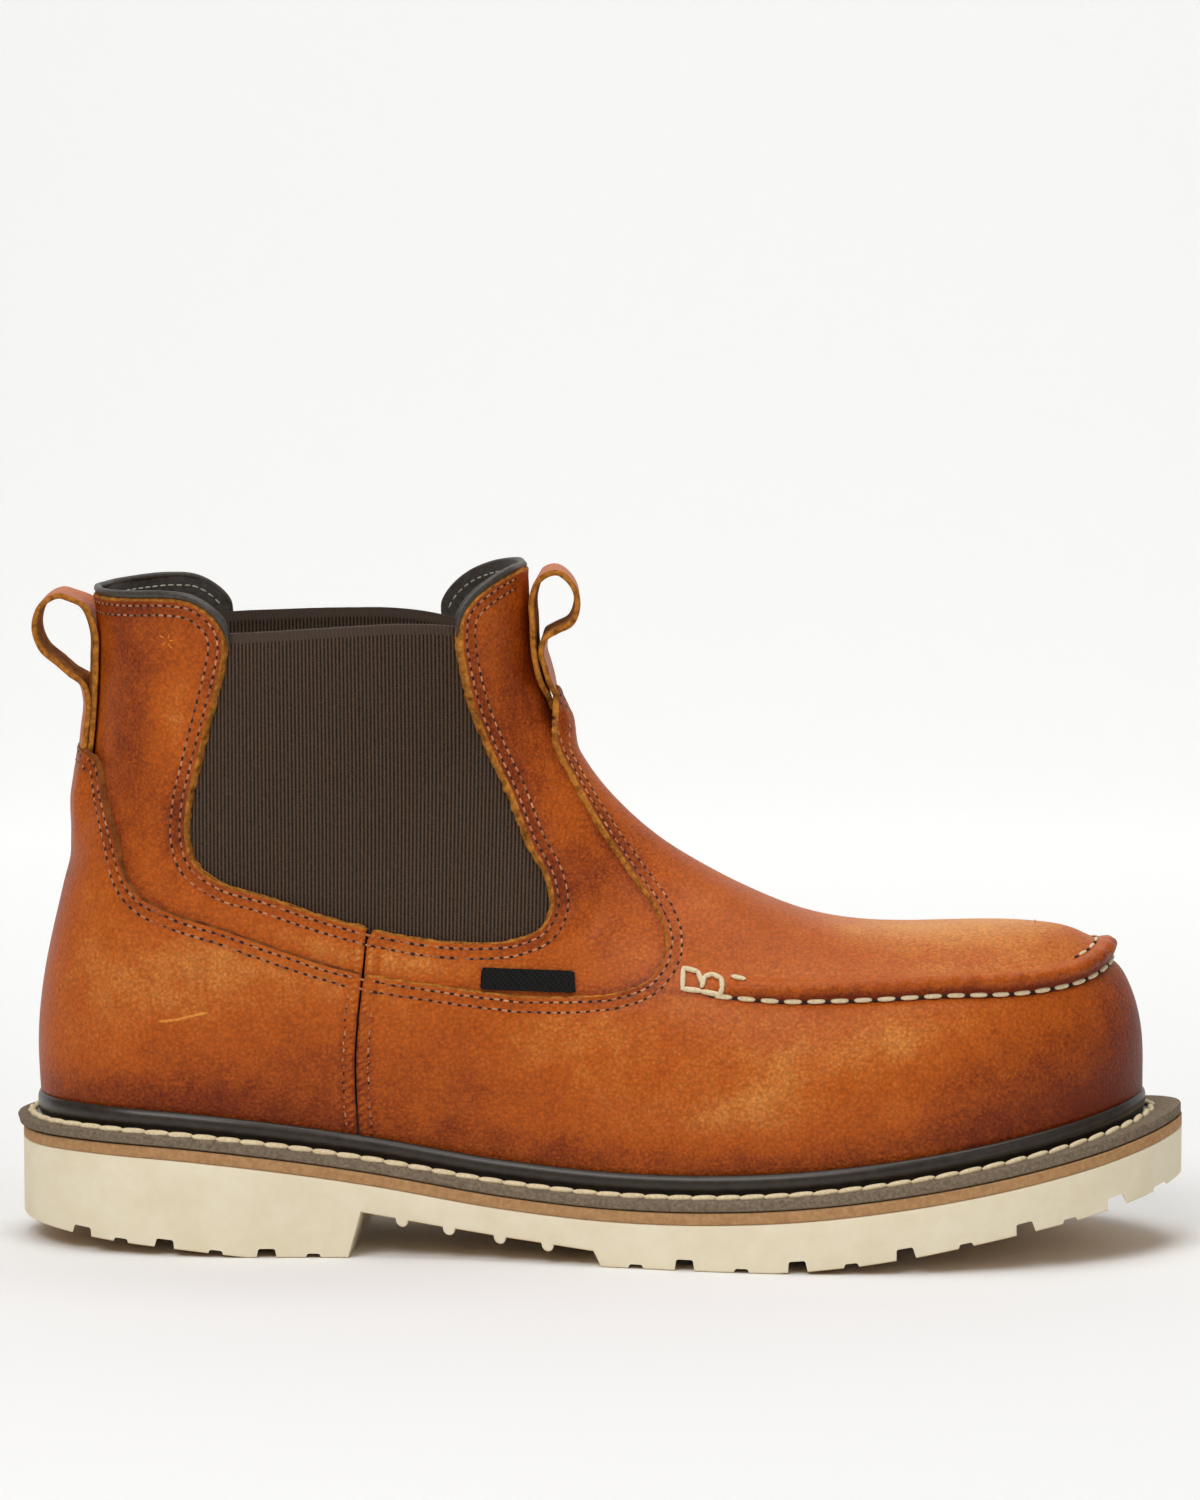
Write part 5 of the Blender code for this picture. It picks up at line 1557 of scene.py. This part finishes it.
# Columns: places, depth, width, length.
CUTS = ((SHALLOW_CUTS, 1.2, 4.8, 18.0), (HEEL_CUTS, 2.5, 6.4, 30.0), (TOE_CUTS, 3.1, 6.2, 30.0))
# Share of the width at a notch's roof, rounding of the roof's edges, and most share of the sole's width.
CUT_TAPER, CUT_ROUND, CUT_SHARE = 0.7, 0.5, 0.3
CUT_SLANT = math.radians(-4.0)
SLOPE_REACH = 3.0


def notch(mesh, width, depth, reach):
    """A bar with a narrower, rounded roof, at the origin. Returns its vertices."""
    bar = bmesh.ops.create_cube(mesh, size=1.0)["verts"]
    bmesh.ops.scale(mesh, vec=(width, reach * 2, depth * 2), verts=bar)
    roof = [vertex for vertex in bar if vertex.co.z > 0]
    bmesh.ops.scale(mesh, vec=(CUT_TAPER, 1.0, 1.0), verts=roof)
    edges = {edge for vertex in roof for edge in vertex.link_edges}
    rim = [edge for edge in edges if all(vertex in roof for vertex in edge.verts)]
    soft = bmesh.ops.bevel(
        mesh, geom=rim, offset=CUT_ROUND, offset_type="OFFSET", affect="EDGES", segments=3, profile=0.5,
        material=-1,
    )
    return list({*soft["verts"], *(vertex for vertex in bar if vertex.is_valid)})


def tread_cutters():
    """All the notches of the tread, which reach in from both edges of the sole."""
    mesh = bmesh.new()
    for places, depth, width, length in CUTS:
        for x in places:
            outer, inner = [edge[0] for edge in edges_at(OUTLINE, np.array([x]))]
            rise = tread_height(x + SLOPE_REACH) - tread_height(x - SLOPE_REACH)
            slope = math.atan2(rise, 2 * SLOPE_REACH)
            reach = min(length, CUT_SHARE * (inner - outer))
            for y, outward in ((outer, -1), (inner, 1)):
                bar = notch(mesh, width, depth, reach)
                turned = Euler((0, -slope, CUT_SLANT * outward)).to_matrix()
                bmesh.ops.rotate(mesh, cent=(0, 0, 0), matrix=turned, verts=bar)
                bmesh.ops.translate(mesh, vec=(x, y, float(tread_height(x))), verts=bar)
    return mesh


def cut_away(name, mesh, cutter_mesh):
    """Mesh data of one form with another cut out of it."""
    things = []
    for label, part in ((name, mesh), (name + "_cutter", cutter_mesh)):
        things.append(bpy.data.objects.new(label, to_metres(label, part)))
        scene.collection.objects.link(things[-1])
    cut = things[0].modifiers.new("cut", "BOOLEAN")
    cut.operation = "DIFFERENCE"
    cut.solver = "EXACT"
    cut.object = things[1]
    depsgraph = bpy.context.evaluated_depsgraph_get()
    data = bpy.data.meshes.new_from_object(things[0].evaluated_get(depsgraph))
    for thing in things:
        bpy.data.meshes.remove(thing.data)
    return data


print(2 * sum(len(row[0]) for row in CUTS), "notches")

# %% Outsole
SOLE_STATIONS, RIB_STATIONS, RIB_OVERLAP = 240, 13, 1.05
SOLE_ROUND = 0.7
# Faces that look down more steeply than this are tread.
TREAD_TILT = -0.6
# Cream rubber is matte, with a fine cellular grain and a little grime in it.
CREAM_RUBBER = two_tone("cream_rubber", "E8DABA", "F0E5CB", 9.0, 0.75, 0.1)
# The tread is walked on, so it is darker and more yellow. It warms the shadow under the boot.
TREAD_RUBBER = two_tone("walked_tread_rubber", "C0935A", "D8B27A", 9.0, 0.85, 0.1)
across_rib = RIB_RADIUS * np.linspace(-RIB_OVERLAP, RIB_OVERLAP, RIB_STATIONS)
rib_steps = np.concatenate([rib + across_rib for rib in WAIST_RIBS])
tread_steps = [x for x, _ in TREAD if abs(x) < SOLE_LENGTH / 2 - 1]
sole_x = stations(OUTLINE, SOLE_STATIONS, np.concatenate((rib_steps, tread_steps)))
sole = layer_mesh(OUTLINE, sole_x, tread_height(sole_x), rocker(sole_x), SOLE_ROUND)
sole_data = cut_away("outsole", sole, tread_cutters())
for face in sole_data.polygons:
    face.material_index = 1 if face.normal.z < TREAD_TILT else 0
add_piece("outsole", sole_data, [CREAM_RUBBER, TREAD_RUBBER], "outsole", sharp=32)

# %% Midsole and insole
# Heights are over the outsole's top.
MIDSOLE_BASE, MIDSOLE_THICKNESS, MIDSOLE_GAP = 0.3, 2.9, 0.05
INSOLE_INSET = 3.4
INSOLE_THICKNESS = 4.0
MIDSOLE_ROUND, INSOLE_ROUND = 0.5, 1.5
MIDSOLE_STATIONS, INSOLE_STATIONS = 260, 200
# The midsole is a sheet of tan crumb, duller than the rubber under it.
TAN_SHEET = two_tone("tan_midsole_sheet", "A07448", "C09464", 1.4, 0.85, 0.15)
# The foot bed is covered with dark brown lining.
FOOT_BED = two_tone("foot_bed_cover", "3A2A1D", "584230", 1.6, 0.9, 0.2)
layer_x = stations(OUTLINE, MIDSOLE_STATIONS)
layer_low = rocker(layer_x) + MIDSOLE_GAP
layer_high = rocker(layer_x) + MIDSOLE_BASE + MIDSOLE_THICKNESS
midsole = layer_mesh(OUTLINE, layer_x, layer_low, layer_high, MIDSOLE_ROUND)
add_piece("midsole", to_metres("midsole", midsole), [TAN_SHEET], "midsole")
bed_line = inset(OUTLINE, REACHES + INSOLE_INSET)
bed_x = stations(bed_line, INSOLE_STATIONS)
bed_low = rocker(bed_x) + UPPER_SEAT
insole = layer_mesh(bed_line, bed_x, bed_low, bed_low + INSOLE_THICKNESS, INSOLE_ROUND)
add_piece("insole", to_metres("insole", insole), [FOOT_BED], "insole")

# %% [markdown]
# ## Welt
# The welt is a strip of dark rubber sewn round the upper. A round bead on it hugs the leather, and the
# thick stitches lie on the ledge outside the bead. Its cross section is carried round the feather line, and
# the bead keeps touching the vamp because the leather's place is measured with a ray at every step.

# %% Welt strip
# Heights are over the outsole's top.
WELT_BASE, WELT_TOP = 3.5, 6.6
BEAD_HEIGHT = 6.0
BEAD_WIDTH = 3.2
BEAD_HALF = 2.5
BEAD_END_WIDTH, BEAD_END_TUCK = 1.6, 0.9
WELT_LEDGE = 6.0
# How far the welt's top edge stands out past the midsole. Columns: x, overhang.
WELT_OVERHANG = ((-158, 1.5), (-140, 1.2), (-110, 0.4), (-80, 0.0), (0, 0.0), (158, 0.0))
WELT_STEPS, ACROSS_STEPS, WELT_WELD = 330, 7, 0.01
# Faces of the cross section that take the paler rubber: the sanded outer edge, and the ledge's top, where the
# paleness is painted light on a face that looks up.
PALE_WELT_COLUMNS = range(1, 6)
# The leather is felt for from outside, at shares of the bead's height, and evened out over so many steps.
FEELER, FEELER_HEIGHTS, FEELER_EVEN = 25.0, (0.3, 0.6, 1.0), 12


def welt_feet():
    """Points round the feather line, outer side then inner side, with the outward direction at each."""
    shares = 0.5 - 0.5 * np.cos(np.linspace(0.0, math.pi, WELT_STEPS))
    shares = 0.5 * shares + 0.5 * np.linspace(0.0, 1.0, WELT_STEPS)
    halves = {side: np.array([at_share(FEATHER[side], share) for share in shares]) for side in SIDES}
    loop = np.vstack((halves["outer"], halves["inner"][-2:0:-1]))
    ahead = np.roll(loop, -1, axis=0) - np.roll(loop, 1, axis=0)
    ahead /= np.linalg.norm(ahead, axis=1)[:, None]
    return loop, np.column_stack((-ahead[:, 1], ahead[:, 0]))


def bead_faces(loop, outward):
    """How far the bead's inner face stands from the feather line at each point."""
    leather = skin_tree(PANEL_LIFT)
    base = rocker(loop[:, 0]) + WELT_TOP
    widest = np.zeros(len(loop))
    for k, (foot, way) in enumerate(zip(loop, outward)):
        for share in FEELER_HEIGHTS:
            start = Vector((*(foot + way * FEELER), base[k] + share * BEAD_HEIGHT))
            hit = leather.ray_cast(start, Vector((*-way, 0.0)))[0]
            if hit:
                widest[k] = max(widest[k], FEELER - (hit - start).length)
    return np.mean([np.roll(widest, step) for step in range(-FEELER_EVEN, FEELER_EVEN + 1)], axis=0)


def welt_profile(face, width, reach, overhang):
    """Offset and height of the cross section at one place, from below round to the ledge inside."""
    middle = WELT_TOP + BEAD_HEIGHT - BEAD_HALF
    half = width / 2
    turns = np.radians(np.linspace(-65.0, 190.0, 19))
    bead = [(face + half + half * math.cos(t), middle + BEAD_HALF * math.sin(t)) for t in turns]
    rim = reach + overhang
    edge = [
        (reach + 0.6 * overhang, WELT_BASE + 0.4), (rim, WELT_TOP - 0.7), (rim - 0.25, WELT_TOP - 0.2),
        (rim - 0.8, WELT_TOP),
    ]
    return [
        (-WELT_LEDGE, WELT_BASE), (reach - 0.5, WELT_BASE), *edge, (face + width + 0.5, WELT_TOP),
        (face + 1.4 * half, WELT_TOP + 0.3), *bead, (face, WELT_TOP), (-WELT_LEDGE, WELT_TOP),
    ]


def make_welt(loop, outward, faces, widths):
    """Carries the cross section round the feather line, and closes the room inside it above and below."""
    reaches, overhangs = (smooth(table, loop[:, 0])[:, 0] for table in (WELT_REACH, WELT_OVERHANG))
    points = []
    for foot, way, *sizes in zip(loop, outward, faces, widths, reaches, overhangs):
        profile = np.array(welt_profile(*sizes))
        plan = foot + way * profile[:, :1]
        points.append(np.column_stack((plan, rocker(plan[:, 0]) + profile[:, 1])))
    points = np.array([*points, points[0]])
    mesh = grid_mesh(points)
    columns = points.shape[1] - 1
    for face in mesh.faces:
        face.material_index = 1 if face.index % columns in PALE_WELT_COLUMNS else 0
    back = np.arange(0, -WELT_STEPS, -1)
    shares = np.linspace(0.0, 1.0, ACROSS_STEPS)[:, None]
    for ring, height in ((0, WELT_BASE), (-1, WELT_TOP)):
        near, far = points[:-1][:WELT_STEPS, ring], points[:-1][back, ring]
        across = np.array([a + (b - a) * shares for a, b in zip(near, far)])
        across[..., 2] = rocker(across[..., 0].ravel()).reshape(across.shape[:2]) + height
        grid_mesh(across, mesh)
    return outwards(mesh, WELT_WELD)


# Moulded rubber, dark grey-brown, with a low sheen where it is rubbed.
WELT_RUBBER = two_tone("dark_welt_rubber", "201913", "382D23", 3.0, 0.34, 0.05, Specular_IOR_Level=0.45)
# The outer edge is sanded after sewing, which leaves it dull and paler. On the ledge's top the same paler
# rubber is painted light.
SANDED_AND_LIT_RUBBER = two_tone("sanded_edge_and_painted_lit_ledge", "5E5040", "8E7E6A", 0.9, 0.9, 0.2, Specular_IOR_Level=0.2)
WELT_LOOP, WELT_OUTWARD = welt_feet()
END_SHARES = WELT_OUTWARD[:, 0] ** 2
WELT_FACES = bead_faces(WELT_LOOP, WELT_OUTWARD) - BEAD_END_TUCK * END_SHARES
WELT_WIDTHS = BEAD_WIDTH + (BEAD_END_WIDTH - BEAD_WIDTH) * END_SHARES
welt = make_welt(WELT_LOOP, WELT_OUTWARD, WELT_FACES, WELT_WIDTHS)
add_piece("welt", to_metres("welt", welt), [WELT_RUBBER, SANDED_AND_LIT_RUBBER], "welt")

# %% [markdown]
# ## Stitches
# A stitch is a short piece of thread that comes out of one hole and dives into the next, so it looks like a
# small swollen bead along the seam. One such bead is made once, and its points are repeated along each row
# as one joined mesh. Small dark beads are painted shade in the needle's holes, between the stitches.

# %% Stitch tools
BEAD_SEGMENTS, BEAD_FULLNESS = 8, 3.2
# Length over which a row's direction is measured.
AHEAD = 0.3


def bead_form():
    """Points and faces of a bead along x, which is fuller towards its ends than a ball is."""
    mesh = bmesh.new()
    bmesh.ops.create_uvsphere(mesh, u_segments=BEAD_SEGMENTS, v_segments=BEAD_SEGMENTS, radius=0.5)
    for vertex in mesh.verts:
        along = min(abs(vertex.co.z) * 2, 1.0)
        if along < 0.999:
            vertex.co.xy *= math.sqrt((1 - along**BEAD_FULLNESS) / max(1 - along**2, 1e-6))
    mesh.verts.index_update()
    points = np.array([vertex.co.zxy for vertex in mesh.verts])
    faces = [[vertex.index for vertex in face.verts] for face in mesh.faces]
    mesh.free()
    return points, faces


BEAD_POINTS, BEAD_FACES = bead_form()


def scatter(name, rows, size, material):
    """Repeats the bead. Rows hold place, direction and normal. A size is length, width and height."""
    places, aheads, normals = rows[:, :3], rows[:, 3:6], rows[:, 6:9]
    aheads = aheads / np.linalg.norm(aheads, axis=1)[:, None]
    across = np.cross(normals, aheads)
    across /= np.linalg.norm(across, axis=1)[:, None]
    axes = np.stack((aheads, across, normals), axis=1)
    scaled = BEAD_POINTS[None] * np.broadcast_to(size, places.shape)[:, None]
    points = (places[:, None] + scaled @ axes).reshape(-1, 3)
    starts = range(0, len(points), len(BEAD_POINTS))
    faces = [[corner + start for corner in face] for start in starts for face in BEAD_FACES]
    data = bpy.data.meshes.new(name)
    data.from_pydata((points * MM).tolist(), [], faces)
    return add_piece(name, data, [material], sharp=80)


def sewn(line, pitch):
    """Places, directions and normals of stitches along a line of points and normals."""
    points, normals = line[:, :3], line[:, 3:]
    run = lengths(points)
    middles = np.arange(pitch / 2, run[-1] - pitch / 2, pitch)
    aheads = at_run(points, middles + AHEAD) - at_run(points, middles - AHEAD)
    turned = np.column_stack([np.interp(middles, run, column) for column in normals.T])
    turned /= np.linalg.norm(turned, axis=1)[:, None]
    return np.column_stack((at_run(points, middles), aheads, turned))


def raised(rows, lift):
    """Stitch rows moved out along their normals."""
    moved = rows.copy()
    moved[:, :3] += rows[:, 6:9] * lift
    return moved


def seated(rows, tree, sink):
    """Stitch rows set on the leather that lies nearest, and sunk into it a little."""
    moved = rows.copy()
    for row in moved:
        place = tree.find_nearest(Vector(row[:3]))[0]
        row[:3] = np.array(place) - row[6:9] * sink
    return moved


def holes_of(rows, pitch):
    """The needle holes at the ends of the stitches in some rows."""
    ends = rows.copy()
    ahead = rows[:, 3:6] / np.linalg.norm(rows[:, 3:6], axis=1)[:, None]
    ends[:, :3] += ahead * pitch / 2
    return ends


# Waxed polyester thread: pale, tightly laid, with a faint sheen.
TAN_THREAD = two_tone("tan_thread", "7A3418", "DC9E72", 8.0, 0.7, 0.1, Specular_IOR_Level=0.1)
CREAM_THREAD = two_tone("cream_thread", "CDB58A", "F2E2C0", 0.7, 0.7, 0.15, Specular_IOR_Level=0.15)
# A needle hole is only a small shadow.
HOLE_SHADE = two_tone("needle_hole_shade", "1E0C04", "2E1408", 1.0, 0.9, 0.0)
print("a stitch has", len(BEAD_FACES), "faces")

# %% Small stitches along the panel edges
EDGE_PITCH, SEAM_PITCH = 2.65, 2.5
EDGE_STITCH = (1.75, 0.62, 0.5)
HOLE_SIZE = (1.4, 0.72, 0.34)
THREAD_SINK = 0.05
# The side seam is stitched up to this height, just below the panel edge.
SEAM_STITCH_TOP = 72.0
PANEL_SKIN = NET + NORMALS * (PANEL_LIFT + PANEL_RELIEF)[..., None]
PANEL_TREE = sheet_tree(PANEL_SKIN)
SHAFT_TREE = sheet_tree(NET + NORMALS * SHAFT_RELIEF[..., None])

edge_rows = []
for side in SIDES:
    for name, tree in (("top", SHAFT_TREE), ("panel", PANEL_TREE)):
        for distance in STITCH_ROWS:
            line = beside(CUT_LINES[name, side], side, distance)
            edge_rows.append(seated(sewn(line, EDGE_PITCH), tree, THREAD_SINK))
    for distance in (-SEAM_STITCH, SEAM_STITCH):
        line = beside(CUT_LINES["seam", side], side, distance)
        low = line[line[:, 2] < SEAM_STITCH_TOP]
        edge_rows.append(seated(sewn(low, SEAM_PITCH), PANEL_TREE, THREAD_SINK))
edge_rows = np.vstack(edge_rows)
scatter("edge_stitches", edge_rows, EDGE_STITCH, TAN_THREAD)
scatter("needle_hole_shades", holes_of(edge_rows, EDGE_PITCH), HOLE_SIZE, HOLE_SHADE)

# %% Thick stitches of the moccasin seam
MOC_PITCH = 6.2
MOC_STITCH = (4.9, 1.5, 1.2)
MOC_AT = 2.0
MOC_END_X = 30.0
MOC_LIFT = 0.25
APRON_STITCH = (3.6, 1.1, 0.9)
APRON_AT = -4.4
APRON_END_X = 128.0
MOC_HOLE = (2.2, 1.1, 0.7)


def round_toe(distance, end_x):
    """Points and normals at a distance past the moccasin seam, from one side round the toe to the other."""
    halves = []
    for side in SIDES:
        line, turned = (past_seam_line(values, distance, side) for values in (PANEL_SKIN, NORMALS))
        halves.append(np.column_stack((line, turned))[line[:, 0] > end_x])
    return np.vstack((halves[0][::-1], halves[1][1:]))


for name, distance, end_x, size in (
    ("moccasin_stitches", MOC_AT, MOC_END_X, MOC_STITCH),
    ("apron_stitches", APRON_AT, APRON_END_X, APRON_STITCH),
):
    rows = sewn(round_toe(distance, end_x), MOC_PITCH)
    scatter(name, raised(rows, MOC_LIFT), size, CREAM_THREAD)
    scatter(name + "_hole_shades", holes_of(rows, MOC_PITCH), MOC_HOLE, HOLE_SHADE)

# %% Lock stitches where the moccasin seam ends
# Ends of each thread on the vamp in side view. Columns: x, z, x, z.
LOCK_THREADS = (
    (24.6, 78.6, 24.6, 73.4), (24.6, 78.6, 28.6, 77.7), (28.6, 77.7, 29.9, 74.8), (24.4, 73.4, 29.6, 73.0),
    (29.8, 74.0, 30.4, 76.5), (30.4, 76.5, 32.4, 77.1), (32.4, 77.1, 35.0, 76.1), (35.0, 76.1, 35.3, 74.0),
    (35.3, 74.0, 34.6, 72.1), (29.6, 73.0, 34.8, 72.2), (37.7, 76.6, 41.1, 76.1),
)
LOCK_WIDTH, LOCK_HEIGHT, LOCK_LIFT = 1.5, 1.2, 0.45
# The ends of two threads overlap by this length.
LOCK_OVERLAP = 0.9


def strokes(lines, side, tree, lift):
    """Rows and lengths of short threads or marks between pairs of side-view places on the leather."""
    rows = []
    for ax, az, bx, bz in lines:
        a, b = (np.array(ray_to_skin(x, z, side, tree)) for x, z in ((ax, az), (bx, bz)))
        middle = (a + b) / 2
        rows.append((*(middle[:3] + middle[3:] * lift), *(b[:3] - a[:3]), *middle[3:]))
    rows = np.array(rows)
    return rows, np.linalg.norm(rows[:, 3:6], axis=1)


for side in SIDES:
    rows, spans = strokes(LOCK_THREADS, side, PANEL_TREE, LOCK_LIFT)
    size = np.column_stack((spans + LOCK_OVERLAP, np.full((len(spans), 2), (LOCK_WIDTH, LOCK_HEIGHT))))
    scatter("lock_stitches_" + side, rows, size, CREAM_THREAD)

# %% Scratch on the counter and scuff on the shaft
# A scratch lifts the waxed grain and shows the paler hide below. Columns: x, z, x, z.
SCRATCH = ((-115.8, 63.0, -111.3, 63.5), (-111.6, 63.4, -107.2, 64.7), (-107.5, 64.6, -103.1, 65.6))
SCUFF = (
    (-115.8, 166.4, -114.7, 165.9), (-113.0, 166.9, -113.3, 166.0), (-111.9, 165.3, -113.0, 165.2),
    (-112.4, 163.2, -113.3, 164.3), (-115.2, 163.8, -114.3, 164.6),
)
# Share by which a mark is drawn longer, and its height.
MARK_LONGER, MARK_HEIGHT = 1.2, 0.22
# Scuffed hide is pale and dry where the wax is gone.
SCUFFED_HIDE = two_tone("scuffed_hide", "CC6E22", "E9A24C", 0.8, 0.8, 0.1, Specular_IOR_Level=0.1)
for name, lines, tree, width in (
    ("counter_scratch", SCRATCH, PANEL_TREE, 0.75), ("shaft_scuff", SCUFF, SHAFT_TREE, 0.3),
):
    rows, spans = strokes(lines, "outer", tree, 0.0)
    size = np.column_stack((spans * MARK_LONGER, np.full((len(spans), 2), (width, MARK_HEIGHT))))
    scatter(name, rows, size, SCUFFED_HIDE)

# %% Stitches inside the collar
# The lining is sewn down under the roll with its own row. It shows on the far side of the mouth.
LINING_STITCH = (1.9, 0.6, 0.4)
LINING_PITCH = 2.6
LINING_ROW = 1.1
LINING_DEPTH = SHAFT_THICKNESS + 0.1
# Undyed thread, plain to see against the dark lining.
LINING_THREAD = two_tone("lining_thread", "8A8072", "C8BEAE", 1.8, 0.7, 0.1)
lining_rows = []
for side in SIDES:
    line = beside(CUT_LINES["top", side], side, LINING_ROW)
    for end in (line[:, 0] < TOPLINE[GORE_FIRST][0], line[:, 0] > TOPLINE[GORE_LAST][0] - INNER_LEAN[1][1]):
        tab_line = line[end & (line[:, 2] > GORE_TOP)]
        lining_rows.append(raised(sewn(tab_line, LINING_PITCH), -LINING_DEPTH))
scatter("lining_stitches", np.vstack(lining_rows), LINING_STITCH, LINING_THREAD)

# %% Rope stitches on the welt
ROPE_PITCH = 6.5
ROPE_GAP = 1.6
ROPE_STITCH = (7.0, 1.9, 1.8)
ROPE_SKEW = math.radians(9.0)
ROPE_RISE = 0.35
rope_offset = WELT_FACES + WELT_WIDTHS + ROPE_GAP
rope_plan = WELT_LOOP + WELT_OUTWARD * rope_offset[:, None]
ups = np.tile((0.0, 0.0, 1.0), (len(rope_plan), 1))
rope_line = np.column_stack((rope_plan, rocker(rope_plan[:, 0]) + WELT_TOP + ROPE_RISE, ups))
rope_rows = sewn(np.vstack((rope_line, rope_line[:1])), ROPE_PITCH)
side_way = np.cross(rope_rows[:, 6:9], rope_rows[:, 3:6])
rope_rows[:, 3:6] = rope_rows[:, 3:6] * math.cos(ROPE_SKEW) + side_way * math.sin(ROPE_SKEW)
scatter("rope_stitches", rope_rows, ROPE_STITCH, CREAM_THREAD)

# %% [markdown]
# ## The sweep
# The boot stands on a white paper sweep that curves up behind it, which has no horizon. Further back the
# paper glows a little, as one lit from behind does. Near the boot it doesn't, so the sole keeps its soft
# shadow.

# %% Paper sweep
SWEEP_FRONT, SWEEP_BACK, SWEEP_RADIUS, SWEEP_TOP, SWEEP_HALF = -3000.0, 1100.0, 700.0, 2600.0, 3000.0
BEND_POINTS = 25
# The glow, and where along y it begins and is full.
PAPER_GLOW, GLOW_FROM, GLOW_FULL = 0.26, 100.0, 900.0


def paper_sweep():
    """A sheet that lies flat, bends and stands up."""
    turns = np.radians(np.linspace(-90.0, 0.0, BEND_POINTS))
    bend = (SWEEP_BACK, SWEEP_RADIUS) + SWEEP_RADIUS * np.column_stack((np.cos(turns), np.sin(turns)))
    profile = np.vstack(((SWEEP_FRONT, 0.0), bend, (SWEEP_BACK + SWEEP_RADIUS, SWEEP_TOP)))
    points = np.array([[(x, y, z) for x in (-SWEEP_HALF, SWEEP_HALF)] for y, z in profile])
    mesh = grid_mesh(points)
    bmesh.ops.recalc_face_normals(mesh, faces=mesh.faces)
    data = to_metres("paper_sweep", mesh)
    data.shade_smooth()
    return data


# Seamless paper is dead matte and almost white.
PAPER, paper_tree, paper_shader, paper_place = new_material(
    "seamless_paper", Base_Color=hex_colour("F1F1F0"), Roughness=0.95, Specular_IOR_Level=0.1,
    Emission_Color=hex_colour("FBFBF9"),
)
depth = add_node(paper_tree, "ShaderNodeSeparateXYZ", None, {0: paper_place}).outputs["Y"]
glow = spread(paper_tree, depth, GLOW_FROM * MM, GLOW_FULL * MM, (0.0, PAPER_GLOW))
finish_with(paper_tree, paper_shader, Emission_Strength=glow)
floor = bpy.data.objects.new("paper_sweep", paper_sweep())
floor.data.materials.append(PAPER)
scene.collection.objects.link(floor)
print("sweep", SWEEP_BACK - SWEEP_FRONT, "mm deep")
